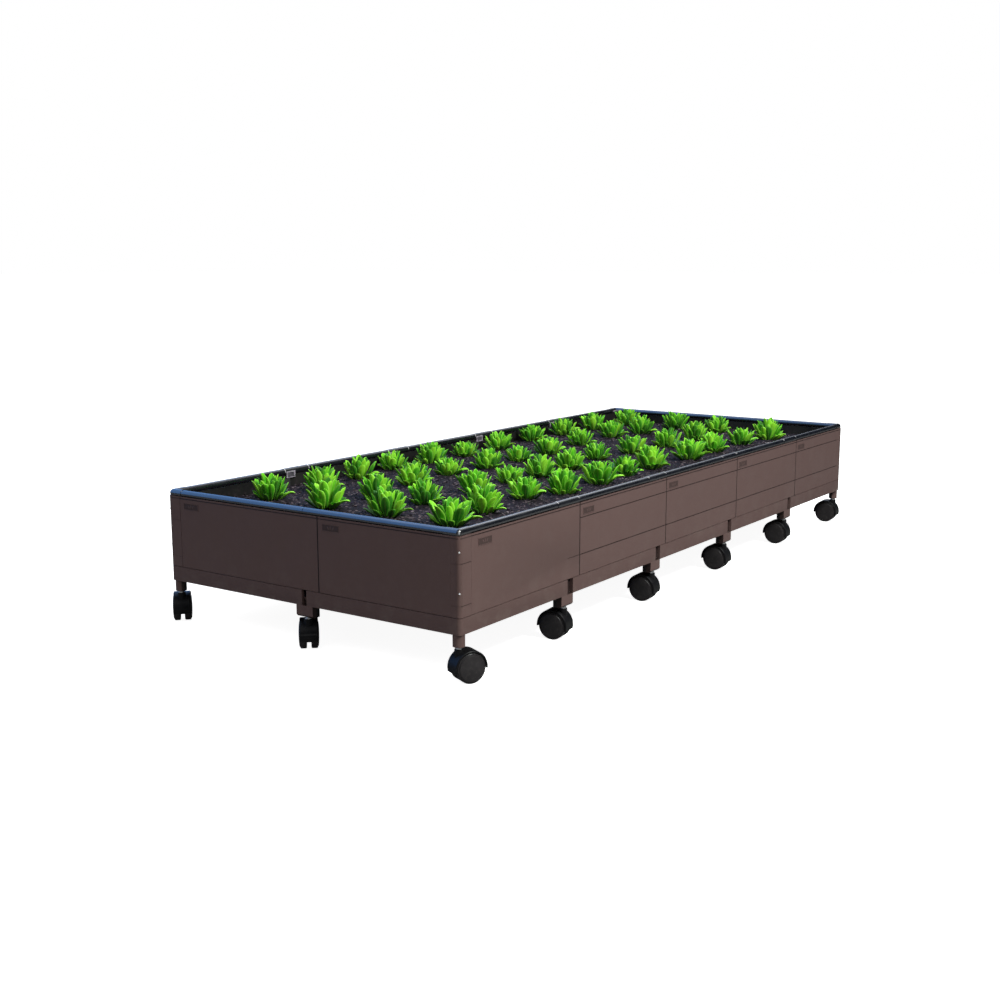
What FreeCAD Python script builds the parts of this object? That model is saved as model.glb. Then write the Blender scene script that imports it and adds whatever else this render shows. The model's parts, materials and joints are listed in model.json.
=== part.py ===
import FreeCAD, Part
import math
import os
import re
import Sketcher

# Modular rolling garden bed: 5 x 2 floor trays, plank-like wall panels, a round
# edge rail with joiner sleeves and corner elbows, short leg brackets and
# twin-wheel hooded casters, filled with potting mix and planted with lettuces.
# Frame: millimetres, +Z up, X along the long side, origin on the floor under
# the middle of the bed. The "front" is the -Y long side, "left" the -X end.

doc = FreeCAD.newDocument("RollingGardenBed")
sheet = doc.addObject("Spreadsheet::Sheet", "dims")
sheet.Label = "dims"

DIMS = [
    # overall
    ("bed_length", 2000.0), ("bed_width", 820.0), ("module_pitch", 400.0),
    # heights above the floor
    ("leg_bottom", 75.0), ("skirt_bottom", 100.5), ("skirt_top", 134.0),
    ("panel_bottom", 135.2), ("panel_top", 297.0), ("rail_axis", 302.0),
    ("soil_top", 270.0), ("floor_underside", 112.0), ("floor_top", 116.0),
    # wall panels
    ("panel_thick", 14.0), ("seam_first", 440.0), ("seam_gap", 1.2),
    ("corner_start", 38.0), ("corner_end", 22.0), ("corner_round", 9.0),
    ("end_seam", 367.0), ("groove_width", 1.3), ("groove_depth", 1.0),
    ("groove_upper", 263.0), ("groove_middle", 181.0), ("lip_line", 292.4),
    # edge rail
    ("rail_inset", 9.5), ("tube_radius", 8.0), ("tube_bore", 6.5),
    ("sleeve_radius", 8.75), ("sleeve_bore", 8.05), ("sleeve_length", 86.0),
    ("seat_radius", 9.0), ("elbow_leg", 30.0),
    # trays
    ("tray_gap", 0.4), ("skirt_thick", 8.0), ("rib_thick", 4.0),
    ("cell_count", 4.0), ("soil_inset", 18.5), ("slot_left", 9.0), ("slot_right", 13.0),
    ("drain_radius", 12.0),
    # legs and brackets
    ("leg_radius", 12.4), ("leg_inset", 14.0), ("bracket_width", 46.0),
    ("bracket_depth", 22.0), ("bracket_shift", 10.0), ("bracket_chamfer", 4.0), ("tongue_top", 133.5),
    ("socket_radius", 7.0), ("socket_bore", 5.6), ("socket_top", 98.0),
    ("screw_spread", 15.0),
    # casters
    ("trail", 19.0), ("wheel_radius", 31.0), ("axle_height", 31.0),
    ("hood_radius", 36.0), ("hood_edge", 2.2), ("hood_bore", 32.2), ("hood_width", 38.5),
    ("web_thick", 9.4), ("boss_top", 70.2), ("boss_radius", 9.2),
    ("axle_radius", 3.0), ("axle_length", 38.0), ("stem_radius", 5.5),
    ("stem_pin_radius", 4.0), ("stem_top", 95.0),
]
for i, (name, value) in enumerate(DIMS, start=1):
    sheet.set("A%d" % i, name)
    sheet.set("B%d" % i, repr(value))
    sheet.setAlias("B%d" % i, name)
doc.recompute()
V = {name: float(getattr(sheet, name)) for name, _ in DIMS}
WORD = re.compile(r"\b(" + "|".join(sorted(V, key=len, reverse=True)) + r")\b")


def ex(text):
    """A sheet expression: bare alias words become references to the sheet."""
    return WORD.sub(lambda m: "dims." + m.group(1), str(text))


def bind(obj, prop, value):
    if isinstance(value, str):
        obj.setExpression(prop, ex(value))
    else:
        setattr(obj, prop, value)


ROT = {
    "z": FreeCAD.Rotation(),
    "x": FreeCAD.Rotation(FreeCAD.Vector(0, 1, 0), 90),
    "y": FreeCAD.Rotation(FreeCAD.Vector(1, 0, 0), -90),
}
TURN = FreeCAD.Rotation(FreeCAD.Vector(0, 0, 1), 180)


def place(obj, x, y, z, rot=None, flip=False):
    """Put an object at sheet-driven coordinates; flip turns it half a turn
    about the bed's vertical centre line, onto the opposite side."""
    rot = rot or FreeCAD.Rotation()
    if flip:
        rot = TURN.multiply(rot)
    obj.Placement = FreeCAD.Placement(FreeCAD.Vector(0, 0, 0), rot)
    for axis, value, sign in (("x", x, -1 if flip else 1), ("y", y, -1 if flip else 1), ("z", z, 1)):
        text = "(%s)" % value
        if sign < 0:
            text = "-1 * " + text
        obj.setExpression("Placement.Base." + axis, ex(text))
    return obj


def box(name, lx, ly, lz, x, y, z, flip=False):
    o = doc.addObject("Part::Box", name)
    bind(o, "Length", str(lx))
    bind(o, "Width", str(ly))
    bind(o, "Height", str(lz))
    return place(o, x, y, z, None, flip)


def cyl(name, radius, length, x, y, z, axis="z", flip=False):
    o = doc.addObject("Part::Cylinder", name)
    bind(o, "Radius", str(radius))
    bind(o, "Height", str(length))
    return place(o, x, y, z, ROT[axis], flip)


def fuse(name, shapes):
    o = doc.addObject("Part::MultiFuse", name)
    o.Shapes = shapes
    return o


def cut(name, base, tools):
    if len(tools) > 1:
        tool = doc.addObject("Part::Compound", name + "_tools")
        tool.Links = tools
    else:
        tool = tools[0]
    o = doc.addObject("Part::Cut", name)
    o.Base = base
    o.Tool = tool
    return o


NODES = []


def node(label, obj):
    obj.Label = label
    NODES.append((label, obj))
    return obj


def group(label, members):
    o = doc.addObject("Part::Compound", label)
    o.Links = members
    return node(label, o)


# ---------------------------------------------------------------- sketches
def plane_of(body, role):
    for feature in body.Origin.OriginFeatures:
        if feature.Role == role:
            return feature
    raise RuntimeError("no plane " + role)


def sketch_on(body, name, role="XY_Plane", offset=None):
    sk = body.newObject("Sketcher::SketchObject", name)
    sk.AttachmentSupport = [(plane_of(body, role), "")]
    sk.MapMode = "FlatFace"
    if offset is not None:
        sk.AttachmentOffset = FreeCAD.Placement(FreeCAD.Vector(0, 0, 0), FreeCAD.Rotation())
        sk.setExpression("AttachmentOffset.Base.z", ex(offset))
    return sk


def value_of(text):
    return float(number_of(text))


def number_of(text):
    """Number for a sheet expression made of + - * / and aliases."""
    tokens = re.findall(r"[A-Za-z_][A-Za-z_0-9]*|\d+\.?\d*|[-+*/()]", str(text))
    out, pos = [], [0]

    def factor():
        t = tokens[pos[0]]
        pos[0] += 1
        if t == "-":
            return -factor()
        if t == "+":
            return factor()
        if t == "(":
            v = total()
            pos[0] += 1
            return v
        return V[t] if t in V else float(t)

    def term():
        v = factor()
        while pos[0] < len(tokens) and tokens[pos[0]] in "*/":
            op = tokens[pos[0]]
            pos[0] += 1
            w = factor()
            v = v * w if op == "*" else v / w
        return v

    def total():
        v = term()
        while pos[0] < len(tokens) and tokens[pos[0]] in "+-":
            op = tokens[pos[0]]
            pos[0] += 1
            w = term()
            v = v + w if op == "+" else v - w
        return v

    return total()


def pin_point(sk, geo, which, x, y, tag):
    """Hold one sketch point at sheet-driven coordinates."""
    for axis, text in (("X", x), ("Y", y)):
        v = value_of(text)
        if abs(v) < 1e-9:
            sk.addConstraint(Sketcher.Constraint("PointOnObject", geo, which, -2 if axis == "X" else -1))
            continue
        if v > 0:
            c = Sketcher.Constraint("Distance" + axis, -1, 1, geo, which, v)
            e = "(%s)" % text
        else:
            c = Sketcher.Constraint("Distance" + axis, geo, which, -1, 1, -v)
            e = "-1 * (%s)" % text
        i = sk.addConstraint(c)
        sk.renameConstraint(i, tag + axis.lower())
        sk.setExpression("Constraints." + tag + axis.lower(), ex(e))


def polygon(sk, points, tag="p"):
    n = len(points)
    xy = [FreeCAD.Vector(value_of(x), value_of(y), 0) for x, y in points]
    base = sk.GeometryCount
    for i in range(n):
        sk.addGeometry(Part.LineSegment(xy[i], xy[(i + 1) % n]), False)
    for i in range(n):
        sk.addConstraint(Sketcher.Constraint("Coincident", base + i, 2, base + (i + 1) % n, 1))
    for i, (x, y) in enumerate(points):
        pin_point(sk, base + i, 1, x, y, "%s%d" % (tag, i))
    return sk


def circle(sk, x, y, radius, tag="c"):
    g = sk.addGeometry(Part.Circle(FreeCAD.Vector(value_of(x), value_of(y), 0),
                                   FreeCAD.Vector(0, 0, 1), value_of(radius)), False)
    i = sk.addConstraint(Sketcher.Constraint("Radius", g, value_of(radius)))
    sk.renameConstraint(i, tag + "r")
    sk.setExpression("Constraints." + tag + "r", ex(radius))
    pin_point(sk, g, 3, x, y, tag)
    return sk


def pad(body, name, sk, length, mid=False):
    f = body.newObject("PartDesign::Pad", name)
    f.Profile = sk
    f.setExpression("Length", ex(length))
    if mid:
        f.SideType = "Symmetric" if "Symmetric" in f.getEnumerationsOfProperty("SideType") else f.SideType
    return f


def pocket(body, name, sk, length, reverse=False):
    f = body.newObject("PartDesign::Pocket", name)
    f.Profile = sk
    f.setExpression("Length", ex(length))
    f.Reversed = reverse
    return f


def new_body(name, compound=False):
    b = doc.addObject("PartDesign::Body", name)
    if compound and hasattr(b, "AllowCompound"):
        b.AllowCompound = True
    return b


# ------------------------------------------------------------ wall panels
def wall_panel(name, x, y, length, along, grooves, flip, short_groove=None):
    """One flat wall panel. (x, y) is its outer lower-left corner seen from
    outside; along is the side it belongs to: long (faces -Y) or end (faces -X)."""
    zed = "panel_bottom"
    high = "panel_top - panel_bottom"
    if along == "long":
        plank = box(name + "_plank", length, "panel_thick", high, x, y, zed, flip)
        seat = cyl(name + "_seat", "seat_radius", "(%s) + 2" % length, "(%s) - 1" % x,
                   "(%s) + rail_inset" % y, "rail_axis", "x", flip)
    else:
        plank = box(name + "_plank", "panel_thick", length, high, x, y, zed, flip)
        seat = cyl(name + "_seat", "seat_radius", "(%s) + 2" % length, "(%s) + rail_inset" % x,
                   "(%s) - 1" % y, "rail_axis", "y", flip)
    tools = [seat]

    def line(tag, level, start=None, run=None):
        s, r = (start, run) if start else ("-1", "(%s) + 2" % length)
        if along == "long":
            tools.append(box(name + tag, r, "groove_depth + 1", "groove_width",
                             "(%s) + (%s)" % (x, s), "(%s) - 1" % y, "(%s) - groove_width / 2" % level, flip))
        else:
            tools.append(box(name + tag, "groove_depth + 1", r, "groove_width",
                             "(%s) - 1" % x, "(%s) + (%s)" % (y, s), "(%s) - groove_width / 2" % level, flip))

    line("_lip", "lip_line")
    if grooves:
        line("_upper", "groove_upper")
        line("_middle", "groove_middle")
    if short_groove:
        line("_middle", "groove_middle", short_groove[0], short_groove[1])
    return cut(name, plank, tools)


LEFT = "(-1 * bed_length / 2)"
FRONT = "(-1 * bed_width / 2)"
long_panels = []
for side, flip in (("front", False), ("rear", True)):
    for k in range(5):
        start = "%s + %s" % (LEFT, "corner_start" if k == 0
                             else "seam_first + %d * module_pitch + seam_gap / 2" % (k - 1))
        stop = ("%s + seam_first + %d * module_pitch - seam_gap / 2" % (LEFT, k) if k < 4
                else "bed_length / 2 - corner_end - 0.15")
        short = ("352.1", "51") if k == 0 else None
        long_panels.append(wall_panel("%s_panel_%d" % (side, k + 1), start, FRONT,
                                      "(%s) - (%s)" % (stop, start), "long", k > 0, flip, short))
group("long_wall_panels", long_panels)

end_panels = []
for side, flip in (("left", False), ("right", True)):
    # seen from outside the left end: the far module is on the left
    spans = (
        ("%s + corner_end + 0.15" % FRONT, "%s + end_seam - seam_gap / 2" % FRONT),
        ("%s + end_seam + seam_gap / 2" % FRONT, "bed_width / 2 - corner_start - seam_gap / 2"),
    )
    for k, (start, stop) in enumerate(spans):
        end_panels.append(wall_panel("%s_panel_%d" % (side, k + 1), LEFT, start,
                                     "(%s) - (%s)" % (stop, start), "end", False, flip))
group("end_wall_panels", end_panels)

# joiner strips behind each seam
strips = []
for side, flip in (("front", False), ("rear", True)):
    for k in range(4):
        strips.append(box("%s_strip_%d" % (side, k + 1), "30", "3.5", "150",
                          "%s + seam_first + %d * module_pitch - 15" % (LEFT, k),
                          "%s + panel_thick" % FRONT, "panel_bottom + 1", flip))
for side, flip in (("left", False), ("right", True)):
    strips.append(box("%s_strip" % side, "3.5", "30", "150", "%s + panel_thick" % LEFT,
                      "%s + end_seam - 15" % FRONT, "panel_bottom + 1", flip))
group("panel_joiner_strips", strips)

# ------------------------------------------------------------ corner posts
# L-shaped, rounded outside, with fine horizontal joint lines. Local frame: the
# outer corner at the origin, +X along the side that starts here.
posts = []
CORNERS = [
    ("front_left", "-1 * bed_length / 2", "-1 * bed_width / 2", 0),
    ("front_right", "bed_length / 2", "-1 * bed_width / 2", 90),
    ("rear_right", "bed_length / 2", "bed_width / 2", 180),
    ("rear_left", "-1 * bed_length / 2", "bed_width / 2", 270),
]


def ell(inset):
    a = str(inset)
    return [(a, a), ("corner_start - 0.3", a), ("corner_start - 0.3", "panel_thick"),
            ("panel_thick", "panel_thick"), ("panel_thick", "corner_end"), (a, "corner_end")]


def round_edge(body, name, feature, inset, radius):
    """Round the upright outer edge of the newest pad."""
    doc.recompute()
    shape = feature.Shape
    for i, e in enumerate(shape.Edges, start=1):
        p, q = e.Vertexes[0].Point, e.Vertexes[-1].Point
        if abs(p.x - inset) < 1e-4 and abs(p.y - inset) < 1e-4 and abs(q.x - inset) < 1e-4 and abs(q.y - inset) < 1e-4:
            f = body.newObject("PartDesign::Fillet", name)
            f.Base = (feature, ["Edge%d" % i])
            f.setExpression("Radius", ex(radius))
            return f
    raise RuntimeError("no upright edge")


def post_segment(label, z0, z1, inset, radius):
    """A rounded L-shaped length of post between two heights."""
    body = new_body(label)
    sk = sketch_on(body, label + "_outline", "XY_Plane", z0)
    polygon(sk, ell(inset))
    f = pad(body, label + "_pad", sk, "(%s) - (%s)" % (z1, z0))
    round_edge(body, label + "_round", f, inset, radius)
    return body


for tag, cx, cy, turn in CORNERS:
    levels = ["panel_bottom", "158.5", "242.5", "panel_top"]
    parts_ = [post_segment(tag + "_core", "panel_bottom", "panel_top", 0.5, "corner_round - 0.5")]
    for j in range(3):
        lo = levels[j] if j == 0 else "%s + 0.4" % levels[j]
        hi = levels[j + 1] if j == 2 else "%s - 0.4" % levels[j + 1]
        parts_.append(post_segment("%s_seg_%d" % (tag, j), lo, hi, 0, "corner_round"))
    whole = fuse(tag + "_post_blank", parts_)
    tools = [
        cyl(tag + "_seat_a", "seat_radius", "60", "rail_inset - 1", "rail_inset", "rail_axis", "x"),
        cyl(tag + "_seat_b", "seat_radius", "60", "rail_inset", "rail_inset - 1", "rail_axis", "y"),
        cyl(tag + "_pin_low", "1.8", "6", "5.4", "5.4", "0", "z"),
        cyl(tag + "_pin_high", "1.8", "6", "5.4", "5.4", "0", "z"),
    ]
    seat_ball = doc.addObject("Part::Sphere", tag + "_seat_ball")
    seat_ball.setExpression("Radius", ex("seat_radius"))
    place(seat_ball, "rail_inset", "rail_inset", "rail_axis")
    tools.append(seat_ball)
    for o, level in ((tools[2], "184.0"), (tools[3], "266.0")):
        o.Placement = FreeCAD.Placement(FreeCAD.Vector(0, 0, 0), FreeCAD.Rotation(FreeCAD.Vector(0, 0, 1), FreeCAD.Vector(1, 1, 0)))
        for a, e in (("x", "2.0"), ("y", "2.0"), ("z", level)):
            o.setExpression("Placement.Base." + a, ex(e))
    post = cut(tag + "_post", whole, tools)
    post.Placement = FreeCAD.Placement(FreeCAD.Vector(0, 0, 0), FreeCAD.Rotation(FreeCAD.Vector(0, 0, 1), turn))
    post.setExpression("Placement.Base.x", ex(cx))
    post.setExpression("Placement.Base.y", ex(cy))
    posts.append(post)
group("corner_posts", posts)

pins = []
for tag, cx, cy, turn in CORNERS:
    a = math.radians(turn)
    for level in ("184.0", "266.0"):
        o = doc.addObject("Part::Cylinder", tag + "_snap_pin")
        o.setExpression("Radius", ex("1.75"))
        o.setExpression("Height", ex("5.5"))
        aim = FreeCAD.Rotation(FreeCAD.Vector(0, 0, 1), turn).multVec(FreeCAD.Vector(1, 1, 0))
        at = FreeCAD.Rotation(FreeCAD.Vector(0, 0, 1), turn).multVec(FreeCAD.Vector(2.1, 2.1, 0))
        o.Placement = FreeCAD.Placement(FreeCAD.Vector(0, 0, 0), FreeCAD.Rotation(FreeCAD.Vector(0, 0, 1), aim))
        o.setExpression("Placement.Base.x", ex("(%s) + %.4f" % (cx, at.x)))
        o.setExpression("Placement.Base.y", ex("(%s) + %.4f" % (cy, at.y)))
        o.setExpression("Placement.Base.z", level)
        pins.append(o)
group("corner_snap_pins", pins)

# ------------------------------------------------------------ edge rail
tubes, sleeves, elbows = [], [], []
for side, flip in (("front", False), ("rear", True)):
    for k in range(5):
        a = "%s + rail_inset + 14" % LEFT if k == 0 else "%s + %d * module_pitch + 0.5" % (LEFT, k)
        b = "bed_length / 2 - rail_inset - 14" if k == 4 else "%s + %d * module_pitch - 0.5" % (LEFT, k + 1)
        outer = cyl("%s_tube_%d_o" % (side, k + 1), "tube_radius", "(%s) - (%s)" % (b, a), a,
                    "%s + rail_inset" % FRONT, "rail_axis", "x", flip)
        inner = cyl("%s_tube_%d_i" % (side, k + 1), "tube_bore", "(%s) - (%s) + 2" % (b, a), "(%s) - 1" % a,
                    "%s + rail_inset" % FRONT, "rail_axis", "x", flip)
        tubes.append(cut("%s_tube_%d" % (side, k + 1), outer, [inner]))
    for k in range(1, 5):
        a = "%s + %d * module_pitch - sleeve_length / 2 - 1.5" % (LEFT, k)
        outer = cyl("%s_sleeve_%d_o" % (side, k), "sleeve_radius", "sleeve_length", a,
                    "%s + rail_inset" % FRONT, "rail_axis", "x", flip)
        inner = cyl("%s_sleeve_%d_i" % (side, k), "sleeve_bore", "sleeve_length + 2", "(%s) - 1" % a,
                    "%s + rail_inset" % FRONT, "rail_axis", "x", flip)
        tab = box("%s_sleeve_%d_tab" % (side, k), "30", "2", "14", "%s + %d * module_pitch + 7" % (LEFT, k),
                  "%s + rail_inset + 6.7" % FRONT, "rail_axis - 15", flip)
        blank = fuse("%s_sleeve_%d_blank" % (side, k), [outer, tab])
        sleeves.append(cut("%s_sleeve_%d" % (side, k), blank, [inner]))
for side, flip in (("left", False), ("right", True)):
    for k in range(2):
        a = "%s + rail_inset + 14" % FRONT if k == 0 else "0.5"
        b = "-0.5" if k == 0 else "bed_width / 2 - rail_inset - 14"
        outer = cyl("%s_tube_%d_o" % (side, k + 1), "tube_radius", "(%s) - (%s)" % (b, a),
                    "%s + rail_inset" % LEFT, a, "rail_axis", "y", flip)
        inner = cyl("%s_tube_%d_i" % (side, k + 1), "tube_bore", "(%s) - (%s) + 2" % (b, a),
                    "%s + rail_inset" % LEFT, "(%s) - 1" % a, "rail_axis", "y", flip)
        tubes.append(cut("%s_tube_%d" % (side, k + 1), outer, [inner]))
    outer = cyl("%s_sleeve_o" % side, "tube_bore - 0.1", "sleeve_length", "%s + rail_inset" % LEFT,
                "-1 * sleeve_length / 2", "rail_axis", "y", flip)
    inner = cyl("%s_sleeve_i" % side, "tube_bore - 1.6", "sleeve_length + 2", "%s + rail_inset" % LEFT,
                "-1 * sleeve_length / 2 - 1", "rail_axis", "y", flip)
    sleeves.append(cut("%s_inner_sleeve" % side, outer, [inner]))
group("rail_tubes", tubes)
group("rail_joiner_sleeves", sleeves)

for tag, cx, cy, turn in CORNERS:
    ball = doc.addObject("Part::Sphere", tag + "_ball")
    ball.setExpression("Radius", ex("sleeve_radius"))
    place(ball, "rail_inset", "rail_inset", "rail_axis")
    arm_a = cyl(tag + "_arm_a", "sleeve_radius", "elbow_leg", "rail_inset", "rail_inset", "rail_axis", "x")
    arm_b = cyl(tag + "_arm_b", "sleeve_radius", "elbow_leg", "rail_inset", "rail_inset", "rail_axis", "y")
    bore_a = cyl(tag + "_bore_a", "sleeve_bore", "elbow_leg", "rail_inset + 13.8", "rail_inset", "rail_axis", "x")
    bore_b = cyl(tag + "_bore_b", "sleeve_bore", "elbow_leg", "rail_inset", "rail_inset + 13.8", "rail_axis", "y")
    elbow = cut(tag + "_elbow", fuse(tag + "_elbow_blank", [ball, arm_a, arm_b]), [bore_a, bore_b])
    elbow.Placement = FreeCAD.Placement(FreeCAD.Vector(0, 0, 0), FreeCAD.Rotation(FreeCAD.Vector(0, 0, 1), turn))
    elbow.setExpression("Placement.Base.x", ex(cx))
    elbow.setExpression("Placement.Base.y", ex(cy))
    elbows.append(elbow)
group("rail_corner_elbows", elbows)

# ------------------------------------------------------------ floor trays
# Each tray: a floor plate on a grid of ribs, with a skirt along its outer
# edges. Adjacent trays leave a slot in the skirt at every leg bracket.
trays, strainers = [], []


def tray_body(name, wide, deep, left, front):
    """Rib-backed floor of one tray: pad, one pocket, pattern of pockets."""
    body = new_body(name)
    sk = sketch_on(body, name + "_outline", "XY_Plane", "skirt_bottom")
    polygon(sk, [(left, front), ("(%s) + (%s)" % (left, wide), front),
                 ("(%s) + (%s)" % (left, wide), "(%s) + (%s)" % (front, deep)),
                 (left, "(%s) + (%s)" % (front, deep))])
    f = pad(body, name + "_plate", sk, "floor_top - skirt_bottom")
    cw = "(((%s) - rib_thick) / cell_count - rib_thick)" % wide
    cd = "(((%s) - rib_thick) / cell_count - rib_thick)" % deep
    sk2 = sketch_on(body, name + "_cell", "XY_Plane", "skirt_bottom")
    x0 = "(%s) + rib_thick" % left
    y0 = "(%s) + rib_thick" % front
    polygon(sk2, [(x0, y0), ("%s + %s" % (x0, cw), y0), ("%s + %s" % (x0, cw), "%s + %s" % (y0, cd)),
                  (x0, "%s + %s" % (y0, cd))], "q")
    doc.recompute()
    before = f.Shape.Volume
    p = pocket(body, name + "_pocket", sk2, "floor_underside - skirt_bottom", True)
    doc.recompute()
    if p.Shape.isNull() or p.Shape.Volume > before - 1:
        p.Reversed = False
        doc.recompute()
    multi = body.newObject("PartDesign::MultiTransform", name + "_cells")
    multi.Originals = [p]
    px = body.newObject("PartDesign::LinearPattern", name + "_along")
    px.Direction = (sk2, ["H_Axis"])
    px.setExpression("Length", ex("(%s + rib_thick) * (cell_count - 1)" % cw))
    px.Occurrences = int(V["cell_count"])
    py = body.newObject("PartDesign::LinearPattern", name + "_across")
    py.Direction = (sk2, ["V_Axis"])
    py.setExpression("Length", ex("(%s + rib_thick) * (cell_count - 1)" % cd))
    py.Occurrences = int(V["cell_count"])
    multi.Transformations = [px, py]
    body.Tip = multi
    doc.recompute()
    if multi.Shape.Volume > p.Shape.Volume - 1:
        raise RuntimeError(name + ": the rib pattern cut nothing")
    return body


for side, flip in (("front", False), ("rear", True)):
    for k in range(5):
        name = "%s_tray_%d" % (side, k + 1)
        left = "%s + %d * module_pitch + %s" % (LEFT, k, "skirt_thick" if k == 0 else "tray_gap")
        right = "%s + %d * module_pitch - %s" % (LEFT, k + 1, "skirt_thick" if k == 4 else "tray_gap")
        front = "%s + skirt_thick" % FRONT
        floor = tray_body(name + "_floor", "(%s) - (%s)" % (right, left), "0 - tray_gap - (%s)" % front, left, front)
        if flip:
            floor.Placement = FreeCAD.Placement(FreeCAD.Vector(0, 0, 0), TURN)
        s0 = LEFT if k == 0 else "%s + %d * module_pitch + slot_right" % (LEFT, k)
        s1 = "bed_length / 2" if k == 4 else "%s + %d * module_pitch - slot_left" % (LEFT, k + 1)
        pieces = [floor, box(name + "_skirt", "(%s) - (%s)" % (s1, s0), "skirt_thick",
                             "skirt_top - skirt_bottom", s0, FRONT, "skirt_bottom", flip)]
        tools = []
        if k in (0, 4):
            ex0 = LEFT if k == 0 else "bed_length / 2 - skirt_thick"
            pieces.append(box(name + "_end_skirt", "skirt_thick", "bed_width / 2 - 6.5",
                              "skirt_top - skirt_bottom", ex0, FRONT, "skirt_bottom", flip))
            bx = "%s + 6" % LEFT if k == 0 else "bed_length / 2 - 42"
            pieces.append(box(name + "_boss", "36", "36", "floor_top - skirt_bottom", bx,
                              "%s + 6" % FRONT, "skirt_bottom", flip))
            lx = "%s + leg_inset" % LEFT if k == 0 else "bed_length / 2 - leg_inset"
            tools.append(cyl(name + "_spigot_hole", "6.1", "9.5", lx, "%s + leg_inset" % FRONT,
                             "skirt_bottom - 1", "z", flip))
            qx = "%s" % LEFT if k == 0 else "bed_length / 2 - corner_round"
            nx = "%s + corner_round" % LEFT if k == 0 else "bed_length / 2 - corner_round"
            square = box(name + "_round_sq", "corner_round + 1", "corner_round + 1", "60",
                         "(%s) - %s" % (qx, "1" if k == 0 else "0"), "%s - 1" % FRONT, "skirt_bottom - 10", flip)
            disc = cyl(name + "_round_cy", "corner_round", "60", nx, "%s + corner_round" % FRONT,
                       "skirt_bottom - 10", "z", flip)
            tools.append(cut(name + "_round", square, [disc]))
            # notch for the leg bracket in the middle of the end wall
            nx2 = "%s + 7.7" % LEFT if k == 0 else "bed_length / 2 - 40.3"
            tools.append(box(name + "_end_notch", "32.6", "40", "floor_underside - skirt_bottom + 9.9", nx2,
                             "-23.6", "skirt_bottom - 10", flip))
        for j in (k, k + 1):
            if 0 < j < 5:
                tools.append(box("%s_notch_%d" % (name, j), "bracket_width + 1", "10.6", "60",
                                 "%s + %d * module_pitch - bracket_shift - bracket_width / 2 - 0.5" % (LEFT, j),
                                 "%s + 7.7" % FRONT, "skirt_bottom - 10", flip))
        dx = "(%s) + ((%s) - (%s)) * 0.375" % (left, right, left)
        dy = "%s * 0.375" % FRONT
        tools.append(cyl(name + "_drain", "drain_radius", "20", dx, dy, "floor_underside - 10", "z", flip))
        tray = cut(name, fuse(name + "_blank", pieces), tools)
        trays.append(tray)
        disc = cyl(name + "_strainer_disc", "drain_radius - 0.2", "3.6", dx, dy, "floor_underside + 0.2", "z", flip)
        cuts = [box("%s_strainer_%d" % (name, j), "1.6", "14", "8", "(%s) + %.1f - 0.8" % (dx, (j - 1) * 5.0),
                    "(%s) - 7" % dy, "floor_underside - 2", flip) for j in range(3)]
        strainers.append(cut(name + "_strainer", disc, cuts))
group("floor_trays", trays)
group("drain_strainers", strainers)

# ------------------------------------------------------------ legs, brackets
legs, brackets, sockets, screws = [], [], [], []
STANDS = []     # name, x, y, heading of the caster that stands there

for tag, cx, cy, turn in CORNERS:
    lx = "(%s) %s leg_inset" % (cx, "+" if "left" in tag else "-")
    ly = "(%s) %s leg_inset" % (cy, "+" if "front" in tag else "-")
    shaft = cyl(tag + "_leg_shaft", "leg_radius", "skirt_bottom - leg_bottom", lx, ly, "leg_bottom")
    spigot = cyl(tag + "_leg_spigot", "6", "skirt_bottom + 8 - leg_bottom - 5", lx, ly, "leg_bottom + 5")
    hole = cyl(tag + "_leg_bore", "socket_radius + 0.02", "socket_top - leg_bottom + 1", lx, ly, "leg_bottom - 1")
    legs.append(cut(tag + "_leg", fuse(tag + "_leg_blank", [shaft, spigot]), [hole]))
group("corner_legs", legs)


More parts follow.
